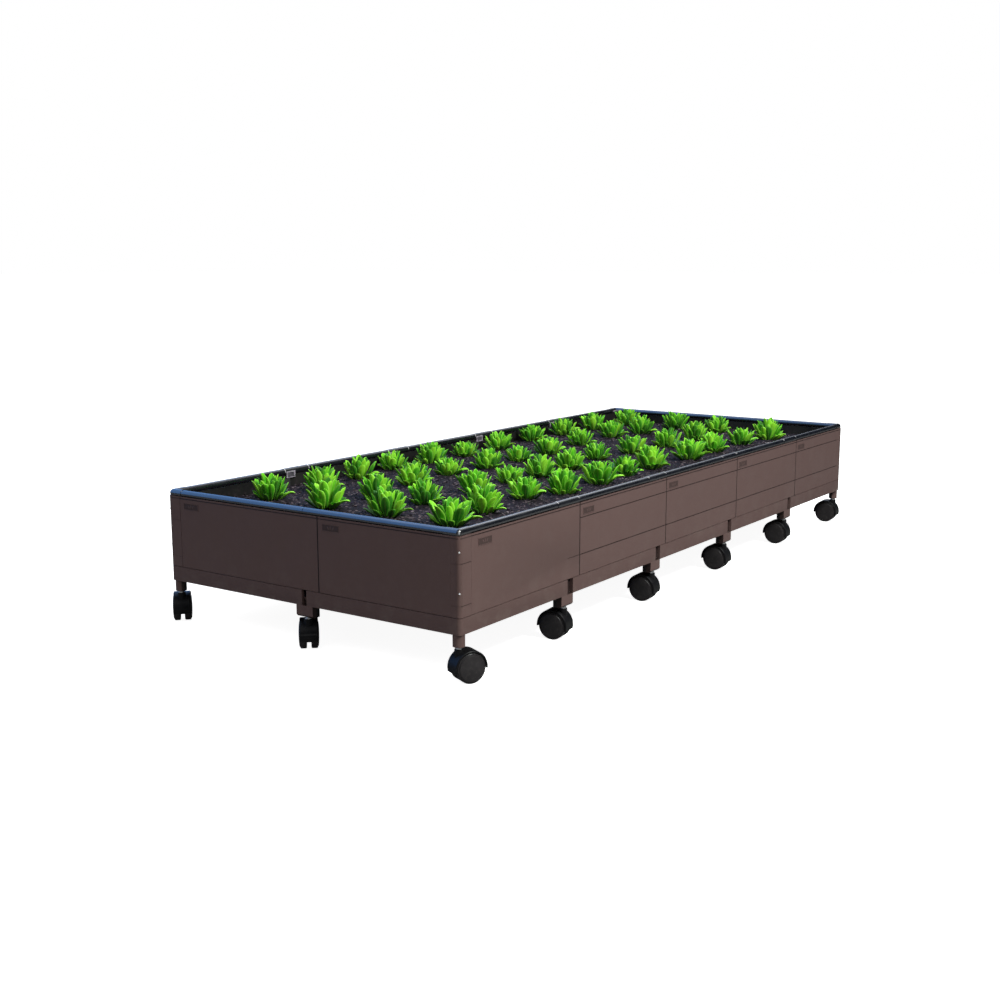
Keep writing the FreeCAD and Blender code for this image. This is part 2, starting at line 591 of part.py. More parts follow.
def bracket(name, x, y, facing, flip):
    """Leg bracket under a tray joint. (x, y) is the middle of its outer face."""
    body = new_body(name + "_block")
    sk = sketch_on(body, name + "_side", "YZ_Plane", "-1 * bracket_width / 2")
    polygon(sk, [("bracket_chamfer", "leg_bottom"), ("bracket_depth", "leg_bottom"),
                 ("bracket_depth", "skirt_bottom"), ("0", "skirt_bottom"),
                 ("0", "leg_bottom + bracket_chamfer")])
    pad(body, name + "_pad", sk, "bracket_width")
    hx = FreeCAD.Rotation(FreeCAD.Vector(0, 0, 1), -90 if facing == "end" else 0)
    place(body, x, y, "0", hx, flip)
    if facing == "long":
        mid = (x, "(%s) + bracket_depth / 2" % y)
        tongue = box(name + "_tongue", "bracket_width", "10", "tongue_top - skirt_bottom",
                     "(%s) - bracket_width / 2" % x, "(%s) + skirt_thick" % y, "skirt_bottom", flip)
    else:
        mid = ("(%s) + bracket_depth / 2" % x, y)
        tongue = box(name + "_tongue", "29.8", "bracket_width - 1", "11",
                     "(%s) + 8.2" % x, "(%s) - bracket_width / 2 + 0.5" % y, "skirt_bottom", flip)
    tools = [cyl(name + "_bore", "socket_radius + 0.02", "socket_top - leg_bottom + 1", mid[0], mid[1], "leg_bottom - 1", "z", flip)]
    for s in (-1, 1):
        if facing == "long":
            sx, sy = "(%s) + %d * screw_spread" % (mid[0], s), mid[1]
        else:
            sx, sy = mid[0], "(%s) + %d * screw_spread" % (mid[1], s)
        tools.append(cyl("%s_cb_%d" % (name, s + 1), "4", "4.5", sx, sy, "leg_bottom - 1", "z", flip))
        tools.append(cyl("%s_sh_%d" % (name, s + 1), "2.1", "24", sx, sy, "leg_bottom", "z", flip))
        head = cyl("%s_screw_head_%d" % (name, s + 1), "3.6", "2.8", sx, sy, "leg_bottom + 0.6", "z", flip)
        drive = cyl("%s_screw_drive_%d" % (name, s + 1), "1.6", "2.2", sx, sy, "leg_bottom - 0.4", "z", flip)
        shank = cyl("%s_screw_shank_%d" % (name, s + 1), "2.0", "19", sx, sy, "leg_bottom + 3", "z", flip)
        screws.append(cut("%s_screw_%d" % (name, s + 1), fuse("%s_screw_blank_%d" % (name, s + 1), [head, shank]), [drive]))
    pieces = [body]
    if facing == "long":
        pieces.append(tongue)
    else:
        foot = box(name + "_foot", "16", "bracket_width - 6", "8", "(%s) + bracket_depth" % x,
                   "(%s) - bracket_width / 2 + 3" % y, "skirt_bottom - 8", flip)
        pieces += [foot, tongue]
    brackets.append(cut(name, fuse(name + "_blank", pieces), tools))
    return mid


for side, flip in (("front", False), ("rear", True)):
    for k in range(1, 5):
        bracket("%s_bracket_%d" % (side, k), "%s + %d * module_pitch - bracket_shift" % (LEFT, k), FRONT, "long", flip)
for side, flip in (("left", False), ("right", True)):
    bracket("%s_bracket" % side, LEFT, "0", "end", flip)
group("leg_brackets", brackets)
group("bracket_screws", screws)

# cross beams tie opposite brackets together under the trays
beams = []
for k in range(1, 5):
    n = "cross_beam_%d" % k
    a = "%s + bracket_depth + 0.2" % FRONT
    outer = box(n + "_o", "30", "bed_width - 2 * bracket_depth - 0.4", "16",
                "%s + %d * module_pitch - 15" % (LEFT, k), a, "skirt_bottom - 16.2")
    inner = box(n + "_i", "26", "bed_width", "12", "%s + %d * module_pitch - 13" % (LEFT, k),
                "%s" % FRONT, "skirt_bottom - 14.2")
    beams.append(cut(n, outer, [inner]))
group("cross_beams", beams)

# ------------------------------------------------------------ name badges
# Blank moulded badges: a rimmed plate with three plain leaf shapes.
badges = []


def badge(name, x, y, along, flip):
    """(x, y) is the middle of the badge on the outer face."""
    if along == "long":
        plate = box(name + "_plate", "46", "0.7", "15", "(%s) - 23" % x, "(%s) - 0.7" % y, "268.5", flip)
        well = box(name + "_well", "43.4", "0.4", "12.4", "(%s) - 21.7" % x, "(%s) - 0.8" % y, "269.8", flip)
    else:
        plate = box(name + "_plate", "0.7", "46", "15", "(%s) - 0.7" % x, "(%s) - 23" % y, "268.5", flip)
        well = box(name + "_well", "0.4", "43.4", "12.4", "(%s) - 0.8" % x, "(%s) - 21.7" % y, "269.8", flip)
    leaves = []
    for j, (du, dv, lean) in enumerate(((-6.5, -0.4, 38), (0.0, 0.6, 0), (6.5, -0.4, -38))):
        o = doc.addObject("Part::Ellipsoid", "%s_leaf_%d" % (name, j))
        o.setExpression("Radius1", ex("4.6"))
        o.setExpression("Radius2", ex("2.0"))
        o.setExpression("Radius3", ex("0.62"))
        lean_axis = FreeCAD.Vector(0, 1, 0)
        r = FreeCAD.Rotation(lean_axis, -lean)
        if along == "long":
            place(o, "(%s) + %.2f" % (x, du), "(%s) - 0.3" % y, "276 + %.2f" % dv, r, flip)
        else:
            r = FreeCAD.Rotation(FreeCAD.Vector(0, 0, 1), -90).multiply(r)
            place(o, "(%s) - 0.3" % x, "(%s) - %.2f" % (y, du), "276 + %.2f" % dv, r, flip)
        leaves.append(o)
    rim = cut(name + "_rim", plate, [well])
    keep = (box(name + "_keep", "60", "1.4", "30", "(%s) - 30" % x, "(%s) - 1.4" % y, "260", flip) if along == "long"
            else box(name + "_keep", "1.4", "60", "30", "(%s) - 1.4" % x, "(%s) - 30" % y, "260", flip))
    o = doc.addObject("Part::Common", name)
    o.Base = fuse(name + "_all", [rim] + leaves)
    o.Tool = keep
    return o


for side, flip in (("front", False), ("rear", True)):
    for k in range(5):
        bx = "%s + 84" % LEFT if k == 0 else "%s + seam_first + %d * module_pitch + 36" % (LEFT, k - 1)
        badges.append(badge("%s_badge_%d" % (side, k + 1), bx, FRONT, "long", flip))
for side, flip in (("left", False), ("right", True)):
    badges.append(badge("%s_badge_1" % side, LEFT, "bed_width / 2 - 74", "end", flip))
    badges.append(badge("%s_badge_2" % side, LEFT, "%s + end_seam - 37" % FRONT, "end", flip))
group("panel_badges", badges)

# ------------------------------------------------------------ soil and plants
soil = box("soil_block", "bed_length - 2 * soil_inset", "bed_width - 2 * soil_inset",
           "soil_top - floor_top - 0.2", "%s + soil_inset" % LEFT, "%s + soil_inset" % FRONT, "floor_top + 0.2")
node("potting_soil", soil)

# x, y of each plant's crown, its spread and its height
PLANTS = [
    (-813, -249, 112, 60), (-656, -216, 90, 67), (-456, -195, 86, 54), (-349, -233, 78, 60),
    (-181, -233, 102, 61), (-32, -220, 78, 52), (112, -218, 84, 63), (303, -233, 104, 60),
    (481, -220, 78, 57), (665, -224, 90, 52), (825, -242, 98, 66),
    (-811, -72, 96, 66), (-643, -45, 74, 58), (-459, -54, 87, 57), (-300, -45, 72, 46),
    (-174, -53, 80, 59), (-9, -39, 80, 55), (169, -17, 66, 48), (329, -38, 92, 54),
    (502, -62, 84, 57), (684, -61, 80, 60), (883, -40, 76, 54),
    (-815, 99, 90, 69), (-649, 90, 85, 60), (-457, 137, 85, 60), (-274, 166, 80, 46),
    (-131, 142, 80, 56), (13, 141, 74, 44), (161, 138, 84, 54), (381, 168, 85, 52),
    (583, 177, 90, 55), (714, 144, 86, 60), (889, 115, 86, 58),
    (-799, 286, 86, 62), (-646, 267, 84, 64), (-459, 310, 84, 60), (-287, 342, 82, 48),
    (-149, 320, 86, 58), (2, 317, 70, 44), (170, 319, 86, 53), (390, 345, 80, 50),
    (553, 335, 88, 56), (714, 324, 88, 58), (890, 294, 90, 56),
]
plants = []
for i, (x, y, spread, high) in enumerate(PLANTS, start=1):
    o = doc.addObject("Part::Ellipsoid", "lettuce_%02d" % i)
    r1 = high / 1.643
    o.setExpression("Radius1", ex("%.3f" % r1))
    o.setExpression("Radius2", ex("%.3f" % (0.46 * spread)))
    o.setExpression("Radius3", ex("%.3f" % (0.46 * spread)))
    o.Angle1 = -40
    o.Placement = FreeCAD.Placement(FreeCAD.Vector(x, y, 0), FreeCAD.Rotation())
    o.setExpression("Placement.Base.z", ex("soil_top + 0.2 + %.3f" % (r1 * math.sin(math.radians(40)))))
    plants.append(o)
group("lettuce_plants", plants)

# ------------------------------------------------------------ casters
# Local frame: the swivel axis is local Z, local +X points from the stem to the
# axle, the floor is z = 0.
CASTERS = [
    # name, x, y, heading of the trailing axle in degrees from +X
    ("front_caster_1", -986.0, -396.0, -26.0),
    ("front_caster_2", -610.0, -399.0, 97.0),
    ("front_caster_3", -210.0, -399.0, 94.0),
    ("front_caster_4", 190.0, -399.0, 92.0),
    ("front_caster_5", 590.0, -399.0, 93.0),
    ("front_caster_6", 986.0, -396.0, 95.0),
    ("rear_caster_1", -986.0, 396.0, 46.0),
    ("rear_caster_2", -590.0, 399.0, 283.0),
    ("rear_caster_3", -190.0, 399.0, 262.0),
    ("rear_caster_4", 210.0, 399.0, 271.0),
    ("rear_caster_5", 610.0, 399.0, 248.0),
    ("rear_caster_6", 986.0, 396.0, 158.0),
    ("left_caster", -989.0, 0.0, 42.0),
    ("right_caster", 989.0, 0.0, 222.0),
]


def make_hood(name):
    body = new_body(name + "_hood_body")
    sk = sketch_on(body, name + "_hood_disc", "XZ_Plane")
    circle(sk, "trail", "axle_height", "hood_radius")
    f = pad(body, name + "_hood_drum", sk, "hood_width")
    f.Midplane = True
    doc.recompute()
    rims = ["Edge%d" % i for i, e in enumerate(f.Shape.Edges, start=1)
            if hasattr(e.Curve, "Radius") and abs(e.Curve.Radius - V["hood_radius"]) < 1e-6]
    if len(rims) != 2:
        raise RuntimeError(name + ": expected two drum rims")
    soft = body.newObject("PartDesign::Fillet", name + "_hood_rims")
    soft.Base = (f, rims)
    soft.setExpression("Radius", ex("hood_edge"))
    sk = sketch_on(body, name + "_boss_base", "XY_Plane", "axle_height + 10")
    circle(sk, "0", "0", "boss_radius")
    f = pad(body, name + "_boss", sk, "boss_top - axle_height - 10")
    doc.recompute()
    tops = ["Edge%d" % i for i, e in enumerate(f.Shape.Edges, start=1)
            if hasattr(e.Curve, "Radius") and abs(e.Curve.Radius - V["boss_radius"]) < 1e-6
            and abs(e.BoundBox.ZMin - V["boss_top"]) < 1e-4 and abs(e.BoundBox.ZMax - V["boss_top"]) < 1e-4]
    if not tops:
        raise RuntimeError(name + ": no boss rim")
    soft = body.newObject("PartDesign::Fillet", name + "_boss_rim")
    soft.Base = (f, tops)
    soft.setExpression("Radius", ex("1.4"))
    doc.recompute()
    # wheel wells on both sides of the web
    for s, rev in ((1, False), (-1, True)):
        sk = sketch_on(body, "%s_well_side_%d" % (name, s + 1), "XZ_Plane", "%d * web_thick / 2" % s)
        circle(sk, "trail", "axle_height", "hood_bore")
        doc.recompute()
        before = body.Shape.Volume
        p = pocket(body, "%s_well_%d" % (name, s + 1), sk, "hood_width", not rev)
        doc.recompute()
        first = before - body.Shape.Volume
        want = math.pi * V["hood_bore"] ** 2 * (V["hood_width"] - V["web_thick"]) / 2
        if abs(first - want) > 0.35 * want:
            p.Reversed = rev
            doc.recompute()
            if abs((before - body.Shape.Volume) - want) > 0.35 * want:
                raise RuntimeError(name + ": wheel well cut the wrong amount")
    # open the lower part: higher at the back, lower at the front
    sk = sketch_on(body, name + "_open_side", "XZ_Plane")
    polygon(sk, [("-30", "-8"), ("trail + hood_radius + 6", "-8"), ("trail + hood_radius + 6", "axle_height - 2.5"),
                 ("trail + 4", "axle_height - 2.5"), ("trail - 14", "axle_height - 12"),
                 ("-6", "axle_height - 12"), ("-30", "axle_height - 4")])
    before = body.Shape.Volume
    p = pocket(body, name + "_open", sk, "hood_width + 10")
    p.Midplane = True
    doc.recompute()
    if body.Shape.Volume > before - 100:
        raise RuntimeError(name + ": hood opening cut nothing")
    # hub boss around the axle
    sk = sketch_on(body, name + "_hub_side", "XZ_Plane")
    circle(sk, "trail", "axle_height", "9")
    f = pad(body, name + "_hub", sk, "web_thick")
    f.Midplane = True
    sk = sketch_on(body, name + "_axle_side", "XZ_Plane")
    circle(sk, "trail", "axle_height", "axle_radius + 0.01")
    p = pocket(body, name + "_axle_bore", sk, "hood_width + 10")
    p.Midplane = True
    # blind bore for the stem pin, from the boss top down
    sk = sketch_on(body, name + "_pin_top", "XY_Plane", "boss_top + 1")
    circle(sk, "0", "0", "stem_pin_radius + 0.01")
    doc.recompute()
    before = body.Shape.Volume
    p = pocket(body, name + "_pin_bore", sk, "9.1")
    doc.recompute()
    if body.Shape.Volume > before - 100:
        p.Reversed = True
        doc.recompute()
    if body.Shape.Volume > before - 100:
        raise RuntimeError(name + ": stem bore cut nothing")
    return body


def make_stem(name):
    """Turned steel stem with collar, and the axle pin."""
    body = new_body(name + "_stem_body")
    sk = sketch_on(body, name + "_stem_half", "XZ_Plane")
    polygon(sk, [("0", "boss_top - 8"), ("stem_pin_radius", "boss_top - 8"), ("stem_pin_radius", "boss_top + 0.1"),
                 ("7.4", "boss_top + 0.1"), ("7.4", "boss_top + 2.4"), ("stem_radius", "boss_top + 2.4"),
                 ("stem_radius", "stem_top - 2"), ("stem_radius - 2", "stem_top"), ("0", "stem_top")])
    f = body.newObject("PartDesign::Revolution", name + "_stem_turn")
    f.Profile = sk
    f.ReferenceAxis = (sk, ["V_Axis"])
    f.Angle = 360
    axle = cyl(name + "_axle_pin", "axle_radius", "axle_length", "trail", "-1 * axle_length / 2", "axle_height", "y")
    o = doc.addObject("Part::Compound", name + "_stem_set")
    o.Links = [body, axle]
    return o


def make_wheels(name):
    """Two domed wheels. Local frame: the axle is local Y through the origin."""
    body = new_body(name + "_wheel_body", True)
    sk = sketch_on(body, name + "_wheel_half", "XY_Plane")
    polygon(sk, [("axle_radius + 0.05", "5.0"), ("wheel_radius - 2", "5.0"), ("wheel_radius - 0.6", "5.6"),
                 ("wheel_radius", "7.0"), ("wheel_radius", "16.5"), ("wheel_radius - 0.5", "17.8"),
                 ("wheel_radius - 1.6", "18.6"), ("28.4", "18.9"), ("28.4", "17.7"), ("27.4", "17.7"),
                 ("27.4", "19.2"), ("26.9", "19.9"), ("25.8", "20.4"), ("20", "21.1"), ("12", "21.6"),
                 ("0", "21.8"), ("0", "axle_length / 2 + 0.2"), ("axle_radius + 0.05", "axle_length / 2 + 0.2")])
    f = body.newObject("PartDesign::Revolution", name + "_wheel_turn")
    f.Profile = sk
    f.ReferenceAxis = (sk, ["V_Axis"])
    f.Angle = 360
    doc.recompute()
    m = body.newObject("PartDesign::Mirrored", name + "_wheel_pair")
    m.Originals = [f]
    m.MirrorPlane = (plane_of(body, "XZ_Plane"), [""])
    body.Tip = m
    doc.recompute()
    if len(body.Shape.Solids) != 2:
        raise RuntimeError(name + ": expected two wheels")
    return body


for name, x, y, heading in CASTERS:
    turn = FreeCAD.Rotation(FreeCAD.Vector(0, 0, 1), heading)
    a = math.radians(heading)
    hood = make_hood(name)
    hood.Placement = FreeCAD.Placement(FreeCAD.Vector(x, y, 0), turn)
    node(name + "_hood", hood)
    stem = make_stem(name)
    stem.Placement = FreeCAD.Placement(FreeCAD.Vector(x, y, 0), turn)
    node(name + "_stem", stem)
    wheels = make_wheels(name)
    wheels.Placement = FreeCAD.Placement(FreeCAD.Vector(x, y, 0), turn)
    wheels.setExpression("Placement.Base.x", ex("%.3f + trail * %.9f" % (x, math.cos(a))))
    wheels.setExpression("Placement.Base.y", ex("%.3f + trail * %.9f" % (y, math.sin(a))))
    wheels.setExpression("Placement.Base.z", ex("axle_height"))
    node(name + "_wheels", wheels)
    ring = cyl(name + "_socket_o", "socket_radius", "socket_top - leg_bottom - 0.4", "%.3f" % x, "%.3f" % y, "leg_bottom + 0.2")
    bore = cyl(name + "_socket_i", "socket_bore", "socket_top - leg_bottom + 2", "%.3f" % x, "%.3f" % y, "leg_bottom - 1")
    sockets.append(cut(name + "_socket", ring, [bore]))
group("stem_sockets", sockets)

# ------------------------------------------------------------ check and write
doc.recompute()
bad = [o.Name for o in doc.Objects if "Invalid" in o.State or "Error" in o.State]
if bad:
    raise RuntimeError("failed objects: %s" % ", ".join(bad[:20]))
os.makedirs("parts", exist_ok=True)
labels = set()
for label, obj in NODES:
    shape = Part.getShape(obj) if not hasattr(obj, "Shape") else obj.Shape
    if shape.isNull() or not shape.isValid():
        raise RuntimeError("%s has no valid shape" % label)
    if obj.Label != label or label in labels or len(label) >= 60:
        raise RuntimeError("bad label %s" % label)
    labels.add(label)
    if not shape.Solids:
        raise RuntimeError("%s has no solid" % label)
if len(NODES) > 60:
    raise RuntimeError("too many nodes: %d" % len(NODES))
for label, obj in NODES:
    obj.Shape.exportStep(os.path.join("parts", label + ".step"))
total = sum(o.Shape.Volume for _, o in NODES)
print("nodes %d, solids %d, volume %.0f cm3" % (len(NODES), sum(len(o.Shape.Solids) for _, o in NODES), total / 1000))
for label, obj in NODES:
    b = obj.Shape.BoundBox
    print("%-26s %3d solids  x %8.1f %8.1f  y %8.1f %8.1f  z %7.1f %7.1f" % (
        label, len(obj.Shape.Solids), b.XMin, b.XMax, b.YMin, b.YMax, b.ZMin, b.ZMax))
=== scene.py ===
import json
import math
import random

import bpy
import numpy as np
from mathutils import Matrix, Vector


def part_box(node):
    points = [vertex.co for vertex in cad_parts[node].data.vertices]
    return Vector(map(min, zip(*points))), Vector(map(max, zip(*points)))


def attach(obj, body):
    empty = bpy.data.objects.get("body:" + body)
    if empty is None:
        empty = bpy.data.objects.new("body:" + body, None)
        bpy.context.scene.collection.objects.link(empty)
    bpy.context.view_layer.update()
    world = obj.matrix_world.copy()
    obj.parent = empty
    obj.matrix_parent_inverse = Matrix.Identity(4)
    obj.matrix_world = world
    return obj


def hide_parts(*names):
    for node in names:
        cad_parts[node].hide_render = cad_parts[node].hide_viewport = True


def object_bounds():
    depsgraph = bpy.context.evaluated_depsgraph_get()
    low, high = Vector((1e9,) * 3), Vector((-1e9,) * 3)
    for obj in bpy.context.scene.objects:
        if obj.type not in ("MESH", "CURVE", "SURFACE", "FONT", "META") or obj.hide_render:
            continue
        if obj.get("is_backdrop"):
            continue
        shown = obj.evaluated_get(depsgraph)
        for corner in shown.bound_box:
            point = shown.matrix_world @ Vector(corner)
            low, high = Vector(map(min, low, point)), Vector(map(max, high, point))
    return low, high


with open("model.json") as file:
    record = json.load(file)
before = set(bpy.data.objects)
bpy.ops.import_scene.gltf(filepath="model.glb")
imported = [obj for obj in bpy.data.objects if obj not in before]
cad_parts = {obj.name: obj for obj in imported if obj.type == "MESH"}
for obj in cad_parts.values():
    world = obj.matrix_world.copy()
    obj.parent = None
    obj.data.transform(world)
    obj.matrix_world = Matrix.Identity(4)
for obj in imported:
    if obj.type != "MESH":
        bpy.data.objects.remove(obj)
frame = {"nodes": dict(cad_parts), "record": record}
lo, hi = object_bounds()
CAD_BOX = [[float(v) for v in lo], [float(v) for v in hi]]
SCENE = bpy.context.scene
SCENE.view_settings.view_transform = "Standard"
SCENE.view_settings.look = "None"


# ---------------------------------------------------------------- camera
def put_camera():
    yaw, pitch, roll = math.radians(34.958), math.radians(10.339), math.radians(-0.136)
    fwd = Vector((math.cos(yaw) * math.cos(pitch), math.sin(yaw) * math.cos(pitch), -math.sin(pitch)))
    right = Vector((math.sin(yaw), -math.cos(yaw), 0))
    up = right.cross(fwd)
    r2 = right * math.cos(roll) + up * math.sin(roll)
    u2 = -right * math.sin(roll) + up * math.cos(roll)
    cam = bpy.data.cameras.new("camera")
    cam.lens, cam.sensor_width, cam.sensor_height = 47.80, 36.0, 36.0
    cam.clip_start, cam.clip_end = 0.05, 200
    ob = bpy.data.objects.new("camera", cam)
    SCENE.collection.objects.link(ob)
    m = Matrix((r2, u2, -fwd)).transposed().to_4x4()
    m.translation = Vector((-2.9904, -1.8962, 0.8219))
    ob.matrix_world = m
    SCENE.camera = ob


put_camera()


# ---------------------------------------------------------------- material helper
class Mat:
    def __init__(self, name, **plain):
        self.m = bpy.data.materials.new(name)
        self.m.use_nodes = True
        self.nt = self.m.node_tree
        self.nt.nodes.clear()
        self.out = self.nt.nodes.new("ShaderNodeOutputMaterial")
        self.bsdf = self.nt.nodes.new("ShaderNodeBsdfPrincipled")
        self.nt.links.new(self.bsdf.outputs[0], self.out.inputs["Surface"])
        for key, v in plain.items():
            self.bsdf.inputs[key.replace("_", " ")].default_value = v
        self._pos = None

    def node(self, kind, ins=(), **props):
        n = self.nt.nodes.new(kind)
        for key, v in props.items():
            setattr(n, key, v)
        for key, v in dict(ins).items():
            self.feed(n.inputs[key], v)
        return n

    def feed(self, socket, v):
        if isinstance(v, bpy.types.NodeSocket):
            self.nt.links.new(v, socket)
        elif isinstance(v, (tuple, list)) and socket.type == "RGBA" and len(v) == 3:
            socket.default_value = (*v, 1.0)
        else:
            socket.default_value = v

    def pos(self):
        if self._pos is None:
            self._pos = self.node("ShaderNodeTexCoord").outputs["Object"]
        return self._pos

    def stretched(self, sx, sy, sz):
        return self.node("ShaderNodeMapping", {"Vector": self.pos(), "Scale": (sx, sy, sz)}).outputs[0]

    def noise(self, scale, detail=3.0, rough=0.55, vec=None, distortion=0.0):
        return self.node("ShaderNodeTexNoise", {"Vector": vec or self.pos(), "Scale": scale, "Detail": detail,
                                                "Roughness": rough, "Distortion": distortion}).outputs["Fac"]

    def voronoi(self, scale, feature="F1", vec=None, out="Distance"):
        return self.node("ShaderNodeTexVoronoi", {"Vector": vec or self.pos(), "Scale": scale},
                         feature=feature).outputs[out]

    def math(self, op, a, b=0.0, c=None, clamp=False):
        n = self.node("ShaderNodeMath", operation=op, use_clamp=clamp)
        self.feed(n.inputs[0], a)
        self.feed(n.inputs[1], b)
        if c is not None:
            self.feed(n.inputs[2], c)
        return n.outputs[0]

    def span(self, v, a, b, x=0.0, y=1.0, smooth=False):
        n = self.node("ShaderNodeMapRange", interpolation_type="SMOOTHSTEP" if smooth else "LINEAR", clamp=True)
        for i, t in enumerate((v, a, b, x, y)):
            self.feed(n.inputs[i], t)
        return n.outputs[0]

    def mix(self, f, a, b, mode="MIX"):
        n = self.node("ShaderNodeMix", data_type="RGBA", blend_type=mode)
        self.feed(n.inputs[0], f)
        self.feed(n.inputs[6], a)
        self.feed(n.inputs[7], b)
        return n.outputs[2]

    def ramp(self, v, stops, mode="LINEAR"):
        n = self.node("ShaderNodeValToRGB", {"Fac": v})
        r = n.color_ramp
        r.interpolation = mode
        while len(r.elements) < len(stops):
            r.elements.new(0.5)
        for e, (p, c) in zip(r.elements, stops):
            e.position, e.color = p, (*c, 1.0)
        return n.outputs["Color"]

    def xyz(self):
        return self.node("ShaderNodeSeparateXYZ", {"Vector": self.pos()}).outputs

    def bump(self, layers):
        """layers: (height socket, strength, distance in metres)"""
        last = None
        for h, strength, dist in layers:
            n = self.node("ShaderNodeBump", {"Height": h, "Strength": strength, "Distance": dist})
            if last is not None:
                self.nt.links.new(last, n.inputs["Normal"])
            last = n.outputs["Normal"]
        self.nt.links.new(last, self.bsdf.inputs["Normal"])

    def set(self, **linked):
        for key, v in linked.items():
            self.feed(self.bsdf.inputs[key.replace("_", " ")], v)
        return self

    def worn(self, lo=0.52, hi=0.62):
        """High on convex edges, from the surface's own pointiness."""
        g = self.node("ShaderNodeNewGeometry").outputs["Pointiness"]
        return self.span(g, lo, hi)


def scaled(c, f):
    return tuple(v * f for v in c)


# ---------------------------------------------------------------- plastics
BROWN = (0.0830, 0.0505, 0.0465)


def brown(name, base=BROWN, dark_inside=False, dust=0.35, rough=0.44):
    k = Mat(name, IOR=1.5)
    k.bsdf.inputs["Specular IOR Level"].default_value = 0.22
    x, y, z = k.xyz()
    slow = k.noise(1.7, 2.0)
    cloud = k.noise(11.0, 4.0, 0.6)
    grain = k.noise(620.0, 3.0, 0.6)
    streak = k.noise(1.0, 4.0, 0.6, k.stretched(70.0, 70.0, 3.0))
    col = k.mix(k.span(slow, 0.3, 0.7), scaled(base, 0.94), scaled(base, 1.07))
    col = k.mix(k.span(cloud, 0.35, 0.75, 0.0, 0.22), col, scaled(base, 1.28))
    col = k.mix(k.span(streak, 0.52, 0.78, 0.0, 0.20), col, scaled(base, 0.78))
    col = k.mix(k.span(grain, 0.55, 0.8, 0.0, 0.16), col, scaled(base, 1.5))
    # pale dust that settles low down and in patches
    low = k.span(z, 0.10, 0.20, 1.0, 0.25)
    patch = k.span(k.noise(24.0, 5.0, 0.65), 0.48, 0.74)
    col = k.mix(k.math("MULTIPLY", k.math("MULTIPLY", low, patch), dust * 0.55), col, (0.21, 0.18, 0.155))
    # rubbed edges
    col = k.mix(k.math("MULTIPLY", k.worn(), 0.35), col, scaled(base, 2.0))
    if dark_inside:
        ax, ay = k.math("ABSOLUTE", x), k.math("ABSOLUTE", y)
        dx, dy = k.math("SUBTRACT", 1.0, ax), k.math("SUBTRACT", 0.410, ay)
        u = k.math("MULTIPLY", k.math("MULTIPLY", x, k.math("SIGN", y)), -1.0)
        w = k.math("MULTIPLY", k.math("MULTIPLY", y, k.math("SIGN", x)), -1.0)

        def line(v, centres, half):
            best = None
            for c in centres:
                one = k.span(k.math("ABSOLUTE", k.math("SUBTRACT", v, c)), half * 0.5, half, 1.0, 0.0)
                best = one if best is None else k.math("MAXIMUM", best, one)
            return best

        def times(*v):
            out = v[0]
            for t in v[1:]:
                out = k.math("MULTIPLY", out, t)
            return out

        # painted shade: dark lines along the panel seams and groove lines, where shade falls
        on_long = times(k.span(dy, 0.0010, 0.0016, 1.0, 0.0), k.span(z, 0.1345, 0.1350))
        on_end = times(k.span(dx, 0.0010, 0.0016, 1.0, 0.0), k.span(z, 0.1345, 0.1350))
        off_post = k.span(ax, 0.9612, 0.9618, 1.0, 0.0)
        recess_shade = times(line(u, (-0.560, -0.160, 0.240, 0.640), 0.0024), on_long)
        recess_shade = k.math("MAXIMUM", recess_shade, times(line(w, (-0.043,), 0.0022), on_end))
        recess_shade = k.math("MAXIMUM", recess_shade, times(line(z, (0.2924,), 0.0016), k.math("MAXIMUM", on_long, on_end), 0.75))
        recess_shade = k.math("MAXIMUM", recess_shade, times(line(z, (0.263, 0.181), 0.0015), on_long, k.span(u, -0.5590, -0.5585), off_post, 0.85))
        recess_shade = k.math("MAXIMUM", recess_shade, times(line(z, (0.1585, 0.2425), 0.0010), k.span(u, -0.9618, -0.9624), on_long, 0.8))
        # painted shade: the grooves, seams and the wells of the badges are darkened where shade falls
        deep_y = times(k.span(dy, 0.0003, 0.0006), k.span(dy, 0.0125, 0.0130, 1.0, 0.0), off_post)
        deep_x = times(k.span(dx, 0.0003, 0.0006), k.span(dx, 0.0125, 0.0130, 1.0, 0.0), k.span(ay, 0.3860, 0.3866, 1.0, 0.0))
        recess_shade = k.math("MAXIMUM", recess_shade, k.math("MAXIMUM", deep_y, deep_x))
        well_y = times(k.span(dy, -0.00015, -0.00025), k.span(dy, -0.00055, -0.00048))
        well_x = times(k.span(dx, -0.00015, -0.00025), k.span(dx, -0.00055, -0.00048))
        recess_shade = k.math("MAXIMUM", recess_shade, times(k.math("MAXIMUM", well_y, well_x), 0.50))
        col = k.mix(k.math("MULTIPLY", recess_shade, 0.80), col, scaled(base, 0.10))
    ro = k.span(cloud, 0.3, 0.75, rough - 0.06, rough + 0.10)
    if dark_inside:
        # painted shade: the inner faces of the walls are darkened, with paler soil splash just above the soil line
        inx = k.span(k.math("ABSOLUTE", x), 0.9872, 0.9882, 1.0, 0.0)
        iny = k.span(k.math("ABSOLUTE", y), 0.3972, 0.3982, 1.0, 0.0)
        inside = k.math("MULTIPLY", inx, iny)
        inside_shade_colour = k.mix(k.span(k.noise(14.0, 5.0, 0.65), 0.35, 0.7), (0.0085, 0.0082, 0.0088), (0.020, 0.019, 0.018))
        splash = k.math("MULTIPLY", k.span(z, 0.268, 0.290, 1.0, 0.0), k.span(k.noise(90.0, 6.0, 0.7), 0.50, 0.62))
        inside_shade_colour = k.mix(k.math("MULTIPLY", splash, 0.7), inside_shade_colour, (0.035, 0.026, 0.030))
        col = k.mix(inside, col, inside_shade_colour)
    k.set(Base_Color=col, Roughness=ro)
    k.bump([(grain, 0.16, 0.0004), (k.noise(150.0, 2.0), 0.06, 0.0006)])
    return k.m


